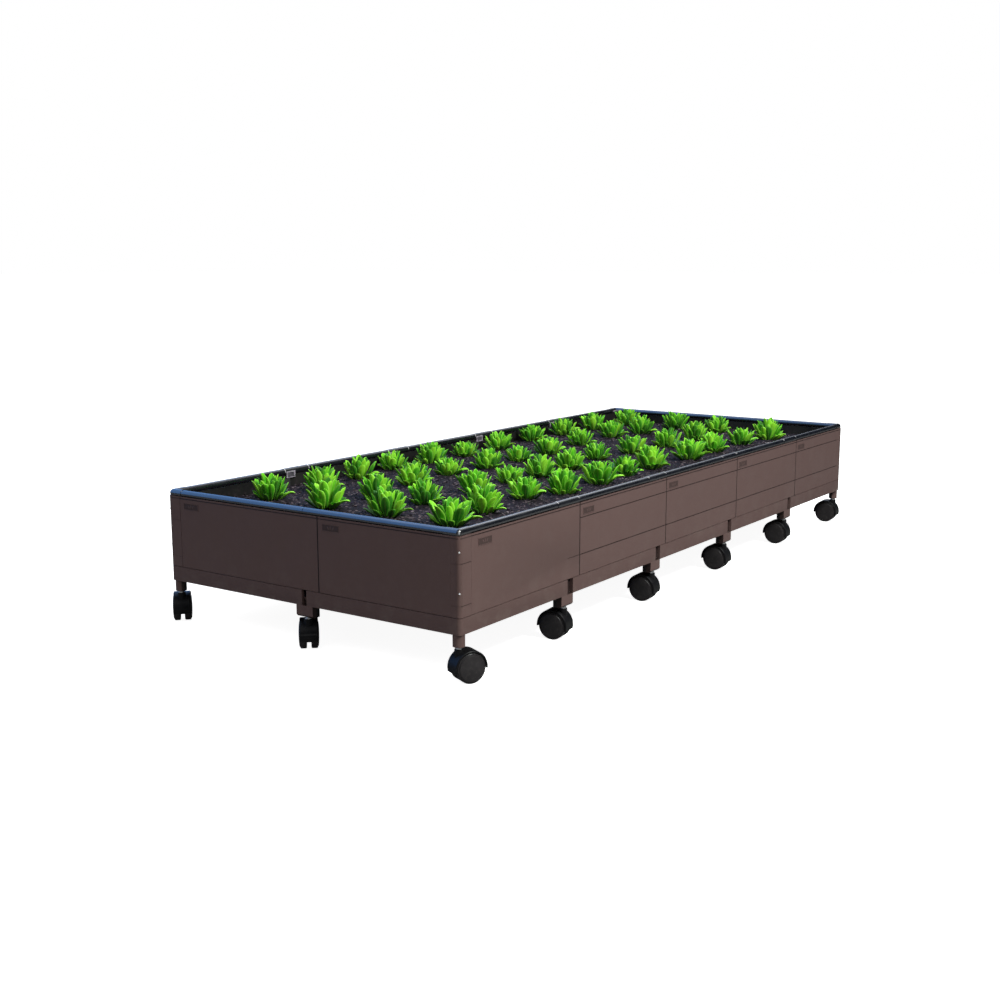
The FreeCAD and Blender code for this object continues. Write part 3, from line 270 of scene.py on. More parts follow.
def black_plastic(name, base, rough, dust=0.3, coarse=420.0, spec=0.5):
    k = Mat(name, IOR=1.5)
    k.bsdf.inputs["Specular IOR Level"].default_value = spec
    cloud = k.noise(36.0, 4.0, 0.6)
    grain = k.noise(coarse, 3.0, 0.6)
    col = k.mix(k.span(cloud, 0.3, 0.7), scaled(base, 0.8), scaled(base, 1.25))
    col = k.mix(k.span(grain, 0.58, 0.8, 0.0, 0.25), col, scaled(base, 1.9))
    patch = k.span(k.noise(60.0, 5.0, 0.7), 0.50, 0.75)
    col = k.mix(k.math("MULTIPLY", patch, dust * 0.30), col, (0.16, 0.14, 0.125))
    col = k.mix(k.math("MULTIPLY", k.worn(), 0.30), col, (0.075, 0.072, 0.072))
    k.set(Base_Color=col, Roughness=k.span(cloud, 0.3, 0.75, rough - 0.05, rough + 0.12))
    k.bump([(grain, 0.14, 0.0003), (k.noise(90.0, 3.0), 0.05, 0.0005)])
    return k.m


def tread_plastic(name):
    """Caster wheels: satin domed faces, scuffed and dusty on the tread."""
    k = Mat(name, IOR=1.5)
    k.bsdf.inputs["Specular IOR Level"].default_value = 0.22
    cloud = k.noise(40.0, 4.0, 0.6)
    grain = k.noise(500.0, 3.0, 0.6)
    base = (0.0235, 0.0210, 0.0222)
    col = k.mix(k.span(cloud, 0.3, 0.7), scaled(base, 0.8), scaled(base, 1.3))
    scuff = k.span(k.noise(130.0, 5.0, 0.7), 0.52, 0.68)
    z = k.xyz()[2]
    near_floor = k.span(z, 0.0, 0.035, 1.0, 0.35)
    col = k.mix(k.math("MULTIPLY", k.math("MULTIPLY", scuff, near_floor), 0.22), col, (0.15, 0.135, 0.12))
    col = k.mix(k.span(grain, 0.6, 0.8, 0.0, 0.2), col, scaled(base, 2.0))
    k.set(Base_Color=col, Roughness=k.span(cloud, 0.3, 0.75, 0.34, 0.50))
    k.bump([(grain, 0.12, 0.0003), (scuff, 0.05, 0.0003)])
    return k.m


def rail_paint(name, base, rough, coat, clip=False):
    k = Mat(name, IOR=2.0)
    k.bsdf.inputs["Coat Weight"].default_value = coat
    k.bsdf.inputs["Coat Roughness"].default_value = 0.10
    k.bsdf.inputs["Specular IOR Level"].default_value = 0.5
    cloud = k.noise(20.0, 4.0, 0.6)
    draw = k.noise(1.0, 3.0, 0.6, k.stretched(3.0, 60.0, 260.0))
    col = k.mix(k.span(cloud, 0.3, 0.7), scaled(base, 0.75), scaled(base, 1.3))
    dust = k.span(k.noise(260.0, 4.0, 0.7), 0.60, 0.78)
    up = k.node("ShaderNodeSeparateXYZ", {"Vector": k.node("ShaderNodeNewGeometry").outputs["Normal"]}).outputs[2]
    col = k.mix(k.math("MULTIPLY", k.math("MULTIPLY", dust, k.span(up, 0.3, 1.0)), 0.22), col, (0.17, 0.16, 0.15))
    if clip:
        # pale bracket-shaped marks on the inner side of each sleeve, at its ends and along its top and bottom
        x, y, z = k.xyz()
        u = k.math("MULTIPLY", x, k.math("SIGN", y))
        u = k.math("FRACT", k.math("ADD", k.math("DIVIDE", k.math("ADD", u, 0.622), 0.4), 10.5))
        d = k.math("MULTIPLY", k.math("ABSOLUTE", k.math("SUBTRACT", u, 0.5)), 0.4)
        ends = k.math("MULTIPLY", k.span(d, 0.0112, 0.0120), k.span(d, 0.0150, 0.0158, 1.0, 0.0))
        band = k.math("MULTIPLY", k.span(d, 0.0150, 0.0158, 1.0, 0.0),
                      k.math("MAXIMUM", k.span(z, 0.2896, 0.2888), k.span(z, 0.2998, 0.3006)))
        fill = k.math("MULTIPLY", k.span(d, 0.0150, 0.0158, 1.0, 0.0), 0.22)
        inner = k.math("MULTIPLY", k.span(k.math("ABSOLUTE", y), 0.4020, 0.4008), k.span(z, 0.3040, 0.3030))
        pale_marks = k.math("MULTIPLY", k.math("MAXIMUM", k.math("MAXIMUM", ends, band), fill), inner)
        pale_marks = k.math("MULTIPLY", pale_marks, k.span(k.noise(180.0, 4.0, 0.7), 0.36, 0.50, 0.25, 0.95))
        col = k.mix(pale_marks, col, (0.42, 0.37, 0.44))
        # painted highlight: a white glint on the outer corner of each elbow
        elbow_glint = k.math("MULTIPLY", k.span(k.math("ABSOLUTE", x), 0.9945, 0.9970), k.span(k.math("ABSOLUTE", y), 0.4045, 0.4070))
        elbow_glint = k.math("MULTIPLY", elbow_glint, k.span(z, 0.2995, 0.3030))
        col = k.mix(k.math("MULTIPLY", elbow_glint, 0.75), col, (0.72, 0.74, 0.78))
        # painted highlights on the cut ends of the sleeves
        v = k.math("MULTIPLY", k.math("MULTIPLY", x, k.math("SIGN", y)), -1.0)
        v = k.math("FRACT", k.math("ADD", k.math("DIVIDE", k.math("ADD", v, 0.6015), 0.4), 10.5))
        e = k.math("MULTIPLY", k.math("ABSOLUTE", k.math("SUBTRACT", v, 0.5)), 0.4)
        end_glint = k.math("MULTIPLY", k.span(e, 0.0408, 0.0414), k.span(k.math("ABSOLUTE", x), 0.900, 0.901, 1.0, 0.0))
        end_glint = k.math("MULTIPLY", end_glint, k.math("MULTIPLY", k.span(k.math("ABSOLUTE", y), 0.4080, 0.4070), k.span(z, 0.300, 0.304)))
        col = k.mix(k.math("MULTIPLY", end_glint, 0.85), col, (0.62, 0.60, 0.62))
    k.set(Base_Color=col, Roughness=k.span(cloud, 0.3, 0.75, rough - 0.04, rough + 0.10))
    k.bump([(draw, 0.04, 0.0003), (k.noise(420.0, 2.0), 0.05, 0.0002)])
    return k.m


def steel(name, base=(0.62, 0.62, 0.63), rough=0.26, metal=1.0):
    k = Mat(name, Metallic=metal)
    brush = k.noise(1.0, 4.0, 0.6, k.stretched(900.0, 900.0, 60.0))
    cloud = k.noise(120.0, 4.0, 0.6)
    col = k.mix(k.span(brush, 0.35, 0.7), scaled(base, 0.86), scaled(base, 1.08))
    col = k.mix(k.span(cloud, 0.55, 0.75, 0.0, 0.35), col, (0.34, 0.30, 0.27))
    k.set(Base_Color=col, Roughness=k.span(cloud, 0.3, 0.8, rough - 0.06, rough + 0.16))
    k.bump([(brush, 0.08, 0.0002)])
    return k.m


def paint(name, base=(0.030, 0.029, 0.030)):
    k = Mat(name, IOR=1.5)
    peel = k.noise(260.0, 2.0)
    cloud = k.noise(9.0, 4.0, 0.6)
    col = k.mix(k.span(cloud, 0.3, 0.7), scaled(base, 0.8), scaled(base, 1.3))
    chip = k.math("MULTIPLY", k.worn(0.53, 0.60), k.span(k.noise(70.0, 4.0, 0.7), 0.5, 0.6))
    col = k.mix(chip, col, (0.20, 0.11, 0.07))
    k.set(Base_Color=col, Roughness=k.span(cloud, 0.3, 0.75, 0.38, 0.55))
    k.bump([(peel, 0.12, 0.0004)])
    return k.m


def soil_mat(name, lift=1.0, crumb=False):
    k = Mat(name, IOR=1.4)
    k.bsdf.inputs["Specular IOR Level"].default_value = 0.25
    big = k.noise(9.0, 3.0, 0.6)
    mid = k.noise(85.0, 4.0, 0.65)
    fine = k.noise(330.0, 4.0, 0.7)
    cell = k.voronoi(210.0, out="Color")
    tone = k.node("ShaderNodeSeparateColor", {"Color": cell}).outputs[0]
    dark, main, pale = (0.0030, 0.0020, 0.0036), (0.0140, 0.0092, 0.0145), (0.200, 0.155, 0.170)
    col = k.ramp(mid, [(0.30, dark), (0.50, main), (0.72, scaled(main, 2.0))])
    col = k.mix(k.span(fine, 0.50, 0.75, 0.0, 0.55), col, scaled(main, 2.6))
    col = k.mix(k.span(tone, 0.86, 0.96, 0.0, 0.75), col, pale)
    col = k.mix(k.span(tone, 0.22, 0.10, 0.0, 0.8), col, scaled(dark, 0.6))
    col = k.mix(k.span(big, 0.35, 0.65, 0.0, 0.30), col, scaled(dark, 1.0))
    if crumb:
        a = k.node("ShaderNodeVertexColor", layer_name="tone").outputs["Color"]
        t = k.node("ShaderNodeSeparateColor", {"Color": a}).outputs[0]
        own = k.ramp(t, [(0.0, (0.003, 0.002, 0.0035)), (0.45, (0.016, 0.011, 0.016)), (0.70, (0.060, 0.046, 0.056)),
                         (0.88, (0.19, 0.155, 0.175)), (1.0, (0.42, 0.37, 0.38))])
        col = k.mix(0.72, col, own)
    k.set(Base_Color=col, Roughness=k.span(mid, 0.3, 0.7, 0.80, 0.98))
    k.bump([(fine, 0.55, 0.0016), (mid, 0.35, 0.003)])
    return k.m


def leaf_mat(name):
    """Reads the leaves' own attribute: R along the leaf, G across from midrib to margin, B tone."""
    k = Mat(name, IOR=1.42)
    k.bsdf.inputs["Specular IOR Level"].default_value = 0.45
    a = k.node("ShaderNodeVertexColor", layer_name="leaf").outputs["Color"]
    s = k.node("ShaderNodeSeparateColor", {"Color": a}).outputs
    along, across, tone = s[0], s[1], s[2]
    mottle = k.noise(95.0, 4.0, 0.6)
    fine = k.noise(520.0, 3.0, 0.6)
    # along the leaf: a pale stalk at the base, darkest mid-blade, and the outer part brightened as painted light
    # shining through the leaf
    col = k.ramp(along, [(0.0, (0.30, 0.56, 0.050)), (0.16, (0.110, 0.46, 0.014)), (0.45, (0.036, 0.290, 0.005)),
                         (0.78, (0.072, 0.450, 0.007)), (1.0, (0.19, 0.72, 0.018))])
    col = k.mix(k.span(tone, 0.0, 0.44, 0.95, 0.0), col, (0.003, 0.070, 0.016))
    col = k.mix(k.span(tone, 0.56, 1.0, 0.0, 0.70), col, (0.40, 0.92, 0.045))
    col = k.mix(k.span(mottle, 0.42, 0.72, 0.0, 0.26), col, (0.050, 0.300, 0.008))
    # paler leaf margins, brightened further as a painted highlight, weaker on the dark leaves
    margin = k.math("MULTIPLY", k.span(across, 0.66, 0.97, 0.0, 0.74, smooth=True), k.span(tone, 0.10, 0.60, 0.12, 1.0))
    col = k.mix(margin, col, (0.42, 0.88, 0.10))
    rib = k.math("MULTIPLY", k.span(across, 0.16, 0.03), k.span(along, 0.9, 0.1, 0.1, 0.75))
    col = k.mix(rib, col, (0.40, 0.62, 0.17))
    # side veins run out and forward from the midrib
    ang = k.math("SUBTRACT", k.math("MULTIPLY", along, 46.0), k.math("MULTIPLY", across, 15.0))
    vein = k.span(k.math("SINE", ang), 0.80, 1.0)
    col = k.mix(k.math("MULTIPLY", vein, 0.22), col, (0.25, 0.52, 0.08))
    # painted shade: the leaves darken towards the soil
    low = k.span(k.xyz()[2], 0.264, 0.290, 0.24, 0.0)
    col = k.mix(low, col, (0.006, 0.070, 0.010))
    k.set(Base_Color=col, Roughness=k.span(mottle, 0.3, 0.75, 0.34, 0.52))
    k.bump([(vein, 0.30, 0.0005), (mottle, 0.20, 0.0010), (fine, 0.10, 0.0003)])
    return k.m


MATS = {
    "brown_panel": brown("panel_plastic", dark_inside=True),
    "brown_tray": brown("tray_plastic", scaled(BROWN, 0.96), dust=0.5, rough=0.48),
    "dark_nylon": black_plastic("strip_nylon", (0.016, 0.0155, 0.017), 0.42, dust=0.35),
    "rail_gloss": rail_paint("rail_lacquer", (0.0032, 0.0040, 0.0065), 0.25, 0.0),
    "rail_fitting": rail_paint("fitting_lacquer", (0.0040, 0.0046, 0.0070), 0.27, 0.0, clip=True),
    "bright_steel": steel("bright_steel"),
    "beam_paint": paint("beam_paint"),
    "caster_hood": black_plastic("hood_nylon", (0.0065, 0.0064, 0.0074), 0.40, dust=0.10, spec=0.14),
    "caster_wheel": tread_plastic("wheel_nylon"),
    "dark_steel": steel("blacked_steel", (0.085, 0.085, 0.090), 0.40),
    "pin_steel": steel("pin_steel", (0.95, 0.95, 0.96), 0.55, 0.25),
}
SOIL = soil_mat("potting_soil_mix")
CRUMB = soil_mat("soil_crumbs_mix", crumb=True)
LEAF = leaf_mat("lettuce_leaf")

slot_of = {}
for sub in frame["record"].get("subcomponents", []) or []:
    if isinstance(sub, dict) and sub.get("node") and sub.get("material_slot"):
        slot_of[sub["node"]] = sub["material_slot"]


def slot_name(node):
    """The record's slot for a CAD node, from the imported material's name."""
    for s in frame["nodes"][node].material_slots:
        if s.material:
            n = s.material.name.split(".")[0]
            for key in sorted(MATS, key=len, reverse=True):
                if key in n:
                    return key
    return slot_of.get(node)


BY_NAME = (
    ("_hood", "caster_hood"), ("_wheels", "caster_wheel"), ("_stem", "bright_steel"),
    ("rail_tubes", "rail_gloss"), ("rail_joiner_sleeves", "rail_fitting"), ("rail_corner_elbows", "rail_fitting"),
    ("corner_snap_pins", "pin_steel"), ("bracket_screws", "dark_steel"), ("cross_beams", "beam_paint"),
    ("panel_joiner_strips", "dark_nylon"), ("drain_strainers", "dark_nylon"), ("stem_sockets", "dark_nylon"),
    ("floor_trays", "brown_tray"),
)


def dress(node):
    ob = frame["nodes"][node]
    key = next((v for e, v in BY_NAME if node.endswith(e)), "brown_panel")
    if not ob.data.materials:
        ob.data.materials.append(MATS[key])
    for s in ob.material_slots:
        s.material = MATS[key]


for node in frame["nodes"]:
    if node not in ("potting_soil", "lettuce_plants"):
        dress(node)


# ---------------------------------------------------------------- mesh helpers
def new_object(name, verts, faces, mat, smooth=True):
    me = bpy.data.meshes.new(name)
    me.from_pydata([tuple(v) for v in verts], [], faces)
    me.materials.append(mat)
    me.update()
    if smooth:
        me.polygons.foreach_set("use_smooth", [True] * len(me.polygons))
    ob = bpy.data.objects.new(name, me)
    SCENE.collection.objects.link(ob)
    return ob


def point_colours(ob, name, rgb):
    at = ob.data.color_attributes.new(name=name, type="FLOAT_COLOR", domain="POINT")
    buf = np.ones((len(ob.data.vertices), 4), dtype=np.float32)
    buf[:, :3] = rgb
    at.data.foreach_set("color", buf.ravel())


def value_noise(x, y, cell, seed):
    """Smooth lattice noise in -1..1 at points x, y (metres)."""
    rng = np.random.default_rng(seed)
    table = rng.uniform(-1, 1, 4096)
    gx, gy = x / cell, y / cell
    ix, iy = np.floor(gx).astype(int), np.floor(gy).astype(int)
    fx, fy = gx - ix, gy - iy
    fx, fy = fx * fx * (3 - 2 * fx), fy * fy * (3 - 2 * fy)

    def at(i, j):
        return table[(i * 374761393 + j * 668265263) % 4093 % 4096]

    a, b, c, d = at(ix, iy), at(ix + 1, iy), at(ix, iy + 1), at(ix + 1, iy + 1)
    return (a * (1 - fx) + b * fx) * (1 - fy) + (c * (1 - fx) + d * fx) * fy


def soil_height(x, y):
    h = 0.0020 * value_noise(x, y, 0.110, 11) + 0.0016 * value_noise(x, y, 0.043, 12)
    h = h + 0.0012 * value_noise(x, y, 0.019, 13) + 0.0011 * value_noise(x, y, 0.0095, 14)
    return h + 0.0007 * value_noise(x, y, 0.0062, 15)


# ---------------------------------------------------------------- soil
s_lo, s_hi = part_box("potting_soil")
SOIL_TOP = s_hi.z
PAD = 0.0004
X0, X1, Y0, Y1 = s_lo.x + PAD, s_hi.x - PAD, s_lo.y + PAD, s_hi.y - PAD


def make_soil():
    nx, ny = 360, 146
    xs, ys = np.linspace(X0, X1, nx), np.linspace(Y0, Y1, ny)
    gx, gy = np.meshgrid(xs, ys, indexing="ij")
    rng = np.random.default_rng(5)
    jx, jy = gx.copy(), gy.copy()
    jx[1:-1, 1:-1] += rng.uniform(-0.0016, 0.0016, (nx - 2, ny - 2))
    jy[1:-1, 1:-1] += rng.uniform(-0.0016, 0.0016, (nx - 2, ny - 2))
    z = SOIL_TOP - 0.0010 + soil_height(jx, jy)
    edge = np.minimum(np.minimum(gx - X0, X1 - gx), np.minimum(gy - Y0, Y1 - gy))
    z -= 0.0030 * np.exp(-edge / 0.012)
    verts = [(float(a), float(b), float(c)) for a, b, c in zip(jx.ravel(), jy.ravel(), z.ravel())]
    faces = []
    for i in range(nx - 1):
        for j in range(ny - 1):
            a = i * ny + j
            faces.append((a, a + ny, a + ny + 1, a + 1))
    ring = [i * ny for i in range(nx)] + [(nx - 1) * ny + j for j in range(1, ny)]
    ring += [i * ny + ny - 1 for i in range(nx - 2, -1, -1)] + [j for j in range(ny - 2, 0, -1)]
    low = SOIL_TOP - 0.040
    start = len(verts)
    for v in ring:
        verts.append((verts[v][0], verts[v][1], low))
    n = len(ring)
    for i in range(n):
        j = (i + 1) % n
        faces.append((ring[j], ring[i], start + i, start + j))
    verts.append(((X0 + X1) / 2, (Y0 + Y1) / 2, low))
    mid = len(verts) - 1
    for i in range(n):
        faces.append((start + (i + 1) % n, start + i, mid))
    ob = new_object("soil_bed", verts, faces, SOIL)
    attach(ob, "root")
    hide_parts("potting_soil")


ICO_V, ICO_F = [], []


def ico():
    t = (1 + 5 ** 0.5) / 2
    v = [(-1, t, 0), (1, t, 0), (-1, -t, 0), (1, -t, 0), (0, -1, t), (0, 1, t), (0, -1, -t), (0, 1, -t),
         (t, 0, -1), (t, 0, 1), (-t, 0, -1), (-t, 0, 1)]
    f = [(0, 11, 5), (0, 5, 1), (0, 1, 7), (0, 7, 10), (0, 10, 11), (1, 5, 9), (5, 11, 4), (11, 10, 2), (10, 7, 6),
         (7, 1, 8), (3, 9, 4), (3, 4, 2), (3, 2, 6), (3, 6, 8), (3, 8, 9), (4, 9, 5), (2, 4, 11), (6, 2, 10),
         (8, 6, 7), (9, 8, 1)]
    v = np.array(v, dtype=float)
    return v / np.linalg.norm(v[0]), f


def make_crumbs(count=8800):
    rng = np.random.default_rng(21)
    base, tri = ico()
    px = rng.uniform(X0 + 0.006, X1 - 0.006, count)
    py = rng.uniform(Y0 + 0.006, Y1 - 0.006, count)
    size = 0.0010 + 0.0026 * rng.uniform(0, 1, count) ** 2.6
    pz = SOIL_TOP - 0.0010 + soil_height(px, py) + 0.15 * size
    tone = np.clip(rng.beta(1.6, 2.6, count) + (rng.uniform(0, 1, count) > 0.93) * 0.35, 0, 1)
    verts, faces, rgb = [], [], []
    for i in range(count):
        a = rng.uniform(0, 2 * math.pi)
        sc = np.array([rng.uniform(0.7, 1.35), rng.uniform(0.7, 1.2), rng.uniform(0.5, 0.9)]) * size[i]
        v = base * rng.uniform(0.78, 1.18, (12, 1)) * sc
        c, s = math.cos(a), math.sin(a)
        v = np.stack([v[:, 0] * c - v[:, 1] * s + px[i], v[:, 0] * s + v[:, 1] * c + py[i], v[:, 2] + pz[i]], 1)
        o = len(verts)
        verts.extend(map(tuple, v))
        faces.extend((x + o, y + o, z + o) for x, y, z in tri)
        rgb.extend([(tone[i],) * 3] * 12)
    ob = new_object("soil_crumbs", verts, faces, CRUMB, smooth=False)
    point_colours(ob, "tone", np.array(rgb, dtype=np.float32))
    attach(ob, "root")


# ---------------------------------------------------------------- lettuces
def islands(ob):
    """Bounding boxes of the separate solids in a CAD node."""
    me = ob.data
    co = np.empty(len(me.vertices) * 3)
    me.vertices.foreach_get("co", co)
    co = co.reshape(-1, 3)
    key, inv = np.unique(np.round(co * 1e5).astype(np.int64), axis=0, return_inverse=True)
    inv = inv.ravel()
    root = list(range(len(key)))

    def find(a):
        while root[a] != a:
            root[a] = root[root[a]]
            a = root[a]
        return a

    for p in me.polygons:
        w = [int(inv[v]) for v in p.vertices]
        r = find(w[0])
        for o in w[1:]:
            q = find(o)
            if q != r:
                root[q] = r
    groups = {}
    for i in range(len(co)):
        groups.setdefault(find(int(inv[i])), []).append(i)
    boxes = [(co[g].min(0), co[g].max(0)) for g in groups.values()]
    return sorted(boxes, key=lambda b: (round(float(b[0][1] + b[1][1]) / 2 / 0.11), float(b[0][0])))


STATIONS = np.array([0.0, 0.12, 0.25, 0.38, 0.50, 0.61, 0.71, 0.80, 0.88, 0.945, 1.0])
PROFILE_S = [0.0, 0.10, 0.22, 0.38, 0.52, 0.64, 0.75, 0.85, 0.93, 0.975, 1.0]
PROFILE_W = [0.22, 0.25, 0.40, 0.68, 0.90, 1.00, 0.99, 0.87, 0.62, 0.36, 0.03]
ACROSS = np.array([-1.0, -0.52, 0.0, 0.52, 1.0])


def leaf(out, at, azimuth, length, width, e0, e1, cup, curl, twist, wave, phase, tone, skew):
    """Appends one closed leaf: a spoon-shaped blade with a thick midrib and a thin margin."""
    ns, nu = len(STATIONS), len(ACROSS)
    e = e0 + (e1 - e0) * STATIONS - curl * np.clip((STATIONS - 0.72) / 0.28, 0, 1) ** 1.5
    step = np.diff(STATIONS, prepend=0.0) * length
    em = np.concatenate([[e[0]], (e[1:] + e[:-1]) / 2])
    r, z = np.cumsum(step * np.cos(em)), np.cumsum(step * np.sin(em))
    half = np.interp(STATIONS, PROFILE_S, PROFILE_W) * width / 2
    side = skew * length * STATIONS ** 2
    ca, sa = math.cos(azimuth), math.sin(azimuth)
    radial, tangent = np.array([ca, sa, 0.0]), np.array([-sa, ca, 0.0])
    top, low = [], []
    for i in range(ns):
        T = radial * math.cos(e[i]) + np.array([0, 0, 1.0]) * math.sin(e[i])
        N = -radial * math.sin(e[i]) + np.array([0, 0, 1.0]) * math.cos(e[i])
        tw = twist * STATIONS[i]
        B2, N2 = tangent * math.cos(tw) + N * math.sin(tw), -tangent * math.sin(tw) + N * math.cos(tw)
        c = at + radial * r[i] + np.array([0, 0, 1.0]) * z[i] + tangent * side[i]
        for u in ACROSS:
            lift = cup * half[i] * u * u + 0.12 * half[i] * abs(u)
            lift += wave * half[i] * abs(u) ** 2 * math.sin(9.5 * STATIONS[i] + phase + (1.9 if u > 0 else 0.0))
            p = c + B2 * (u * half[i] * (1 - 0.16 * cup * u * u)) + N2 * lift
            t = (0.0011 - 0.0007 * abs(u)) * (1 - 0.60 * STATIONS[i]) + (0.0012 * (1 - STATIONS[i]) if u == 0 else 0)
            top.append(p)
            low.append(p - N2 * max(t, 0.00025))
    o = len(out["v"])
    out["v"].extend(map(tuple, top))
    out["v"].extend(map(tuple, low))
    n = ns * nu
    for i in range(ns - 1):
        for j in range(nu - 1):
            a = o + i * nu + j
            out["f"].append((a, a + 1, a + nu + 1, a + nu))
            b = a + n
            out["f"].append((b, b + nu, b + nu + 1, b + 1))
    for i in range(ns - 1):
        a = o + i * nu
        out["f"].append((a, a + nu, a + nu + n, a + n))
        a = o + i * nu + nu - 1
        out["f"].append((a, a + n, a + nu + n, a + nu))
    for j in range(nu - 1):
        a = o + j
        out["f"].append((a, a + n, a + n + 1, a + 1))
        a = o + (ns - 1) * nu + j
        out["f"].append((a, a + 1, a + n + 1, a + n))
    cols = [(STATIONS[i], abs(u), tone) for i in range(ns) for u in ACROSS]
    out["c"].extend(cols)
    out["c"].extend((a, b, min(1.0, t + 0.16)) for a, b, t in cols)


def make_plant(index, box):
    b_lo, b_hi = box
    rng = random.Random(700 + index)
    cx, cy = (b_lo[0] + b_hi[0]) / 2, (b_lo[1] + b_hi[1]) / 2
    spread, high = (b_hi[0] - b_lo[0]) / 0.92, b_hi[2] - b_lo[2]
    ground = float(soil_height(np.array([cx]), np.array([cy]))[0]) + SOIL_TOP - 0.003
    high = b_hi[2] - ground
    out = {"v": [], "f": [], "c": []}
    rad = math.radians
    turn = rng.uniform(0, 2 * math.pi)
    k = 0
    for tier, (count, e0, e1, reach, wide, cup, curl) in enumerate((
            (9, 20, 50, 0.500, 0.400, 0.30, 10),
            (9, 42, 72, 0.700, 0.370, 0.32, 6),
            (9, 56, 77, 0.900, 0.305, 0.34, 5),
            (7, 68, 85, 1.000, 0.275, 0.36, 3))):
        for i in range(count):
            k += 1
            az = turn + k * 2.39996 + rng.uniform(-0.16, 0.16)
            a0, a1 = rad(e0 + rng.uniform(-6, 6)), rad(e1 + rng.uniform(-6, 6))
            size = (0.55 * spread + 0.45 * high) * reach if tier < 2 else high * reach
            size *= rng.uniform(0.90, 1.06)
            # keep tips inside the plant's own height
            top = math.sin((a0 + a1) / 2) * size
            size *= min(1.0, high * 0.99 / top)
            foot = (0.0170, 0.0150, 0.0090, 0.0035)[tier]
            at = np.array([cx + foot * math.cos(az), cy + foot * math.sin(az), ground])
            leaf(out, at, az, size, size * wide * rng.uniform(0.9, 1.14), a0, a1, cup * rng.uniform(0.7, 1.25),
                 rad(curl * rng.uniform(0.2, 1.6)), rad(rng.uniform(-14, 14)), rng.uniform(0.03, 0.11),
                 rng.uniform(0, 6.28), rng.choice((0.02, 0.11, 0.30, 0.52, 0.76, 0.97)) + rng.uniform(-0.04, 0.04), rng.uniform(-0.05, 0.05))
    # low leaves that lie out over the soil
    lows = [(-55 + rng.uniform(-26, 20), rng.uniform(8, 17), rng.uniform(0.54, 0.62), rng.uniform(0.78, 1.0))]
    lows.append((125 + rng.uniform(-20, 25), rng.uniform(34, 42), rng.uniform(0.46, 0.54), 1.0))
    if rng.random() < 0.6:
        lows.append((rng.uniform(180, 290), rng.uniform(14, 26), rng.uniform(0.42, 0.52), rng.uniform(0.4, 0.8)))
    for az, el, reach, tone in lows:
        az = rad(az)
        size = spread * reach
        at = np.array([cx + 0.006 * math.cos(az), cy + 0.006 * math.sin(az), ground + 0.002])
        leaf(out, at, az, size, size * rng.uniform(0.27, 0.33), rad(el + 14), rad(el - 4), 0.45, rad(rng.uniform(-6, 14)),
             rad(rng.uniform(-18, 18)), 0.08, rng.uniform(0, 6.28), tone, rng.uniform(-0.08, 0.08))
    v = np.array(out["v"])
    v[:, 0] = np.clip(v[:, 0], X0 + 0.002, X1 - 0.002)
    v[:, 1] = np.clip(v[:, 1], Y0 + 0.002, Y1 - 0.002)
    v[:, 2] = np.minimum(v[:, 2], CAD_BOX[1][2])
    ob = new_object("lettuce_%02d" % (index + 1), v, out["f"], LEAF)
    point_colours(ob, "leaf", np.array(out["c"], dtype=np.float32))
    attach(ob, "root")
    if index == 0:
        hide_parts("lettuce_plants")


make_soil()
make_crumbs()
for number, box in enumerate(islands(frame["nodes"]["lettuce_plants"])):
    make_plant(number, box)


# ---------------------------------------------------------------- stage and light
def area(name, at, to, size, size_y, radiance, colour=(1, 1, 1)):
    d = bpy.data.lights.new(name, "AREA")
    d.shape, d.size, d.size_y = "RECTANGLE", size, size_y
    d.energy = radiance * math.pi * size * size_y
    d.color = colour
    ob = bpy.data.objects.new(name, d)
    ob.visible_camera = False
    SCENE.collection.objects.link(ob)
    at = Vector(at)
    ob.matrix_world = Matrix.Translation(at) @ (Vector(to) - at).to_track_quat("-Z", "Y").to_matrix().to_4x4()


def polar(azimuth, elevation, distance, to=(0, 0, 0.25)):
    a, e = math.radians(azimuth), math.radians(elevation)
    return (to[0] + distance * math.cos(e) * math.cos(a), to[1] + distance * math.cos(e) * math.sin(a),
            to[2] + distance * math.sin(e))


area("key", polar(258, 46, 4.2), (0, 0, 0.2), 1.15, 1.15, 54.0, (0.93, 0.965, 0.925))
area("top_side", polar(95, 62, 3.9), (-0.3, 0, 0.3), 3.2, 1.6, 0.8, (0.80, 0.86, 1.0))
area("far_side", polar(4, 44, 4.2), (-0.4, 0, 0.3), 2.4, 2.0, 1.3, (0.90, 0.94, 1.0))
area("camera_fill", polar(205, 38, 4.6), (0, 0, 0.2), 2.4, 1.6, 1.1, (1.0, 0.98, 0.98))

world = bpy.data.worlds.new("studio")
SCENE.world = world
world.use_nodes = True
wn = world.node_tree
wn.nodes.clear()
w_out = wn.nodes.new("ShaderNodeOutputWorld")
w_seen = wn.nodes.new("ShaderNodeBackground")
w_seen.inputs[0].default_value, w_seen.inputs[1].default_value = (1, 1, 1, 1), 1.0
w_light = wn.nodes.new("ShaderNodeBackground")
w_light.inputs[0].default_value = (0.96, 0.98, 1.0, 1)
w_dir = wn.nodes.new("ShaderNodeTexCoord")
w_sep = wn.nodes.new("ShaderNodeSeparateXYZ")
w_up = wn.nodes.new("ShaderNodeMapRange")
w_up.interpolation_type = "SMOOTHSTEP"
for slot, value in ((1, 0.18), (2, 0.85), (3, 0.07), (4, 0.62)):
    w_up.inputs[slot].default_value = value
wn.links.new(w_dir.outputs["Generated"], w_sep.inputs[0])
wn.links.new(w_sep.outputs[2], w_up.inputs[0])
wn.links.new(w_up.outputs[0], w_light.inputs[1])


def w_math(op, a, b=0.0):
    n = wn.nodes.new("ShaderNodeMath")
    n.operation = op
    for i, v in enumerate((a, b)):
        if isinstance(v, bpy.types.NodeSocket):
            wn.links.new(v, n.inputs[i])
        else:
            n.inputs[i].default_value = v
    return n.outputs[0]


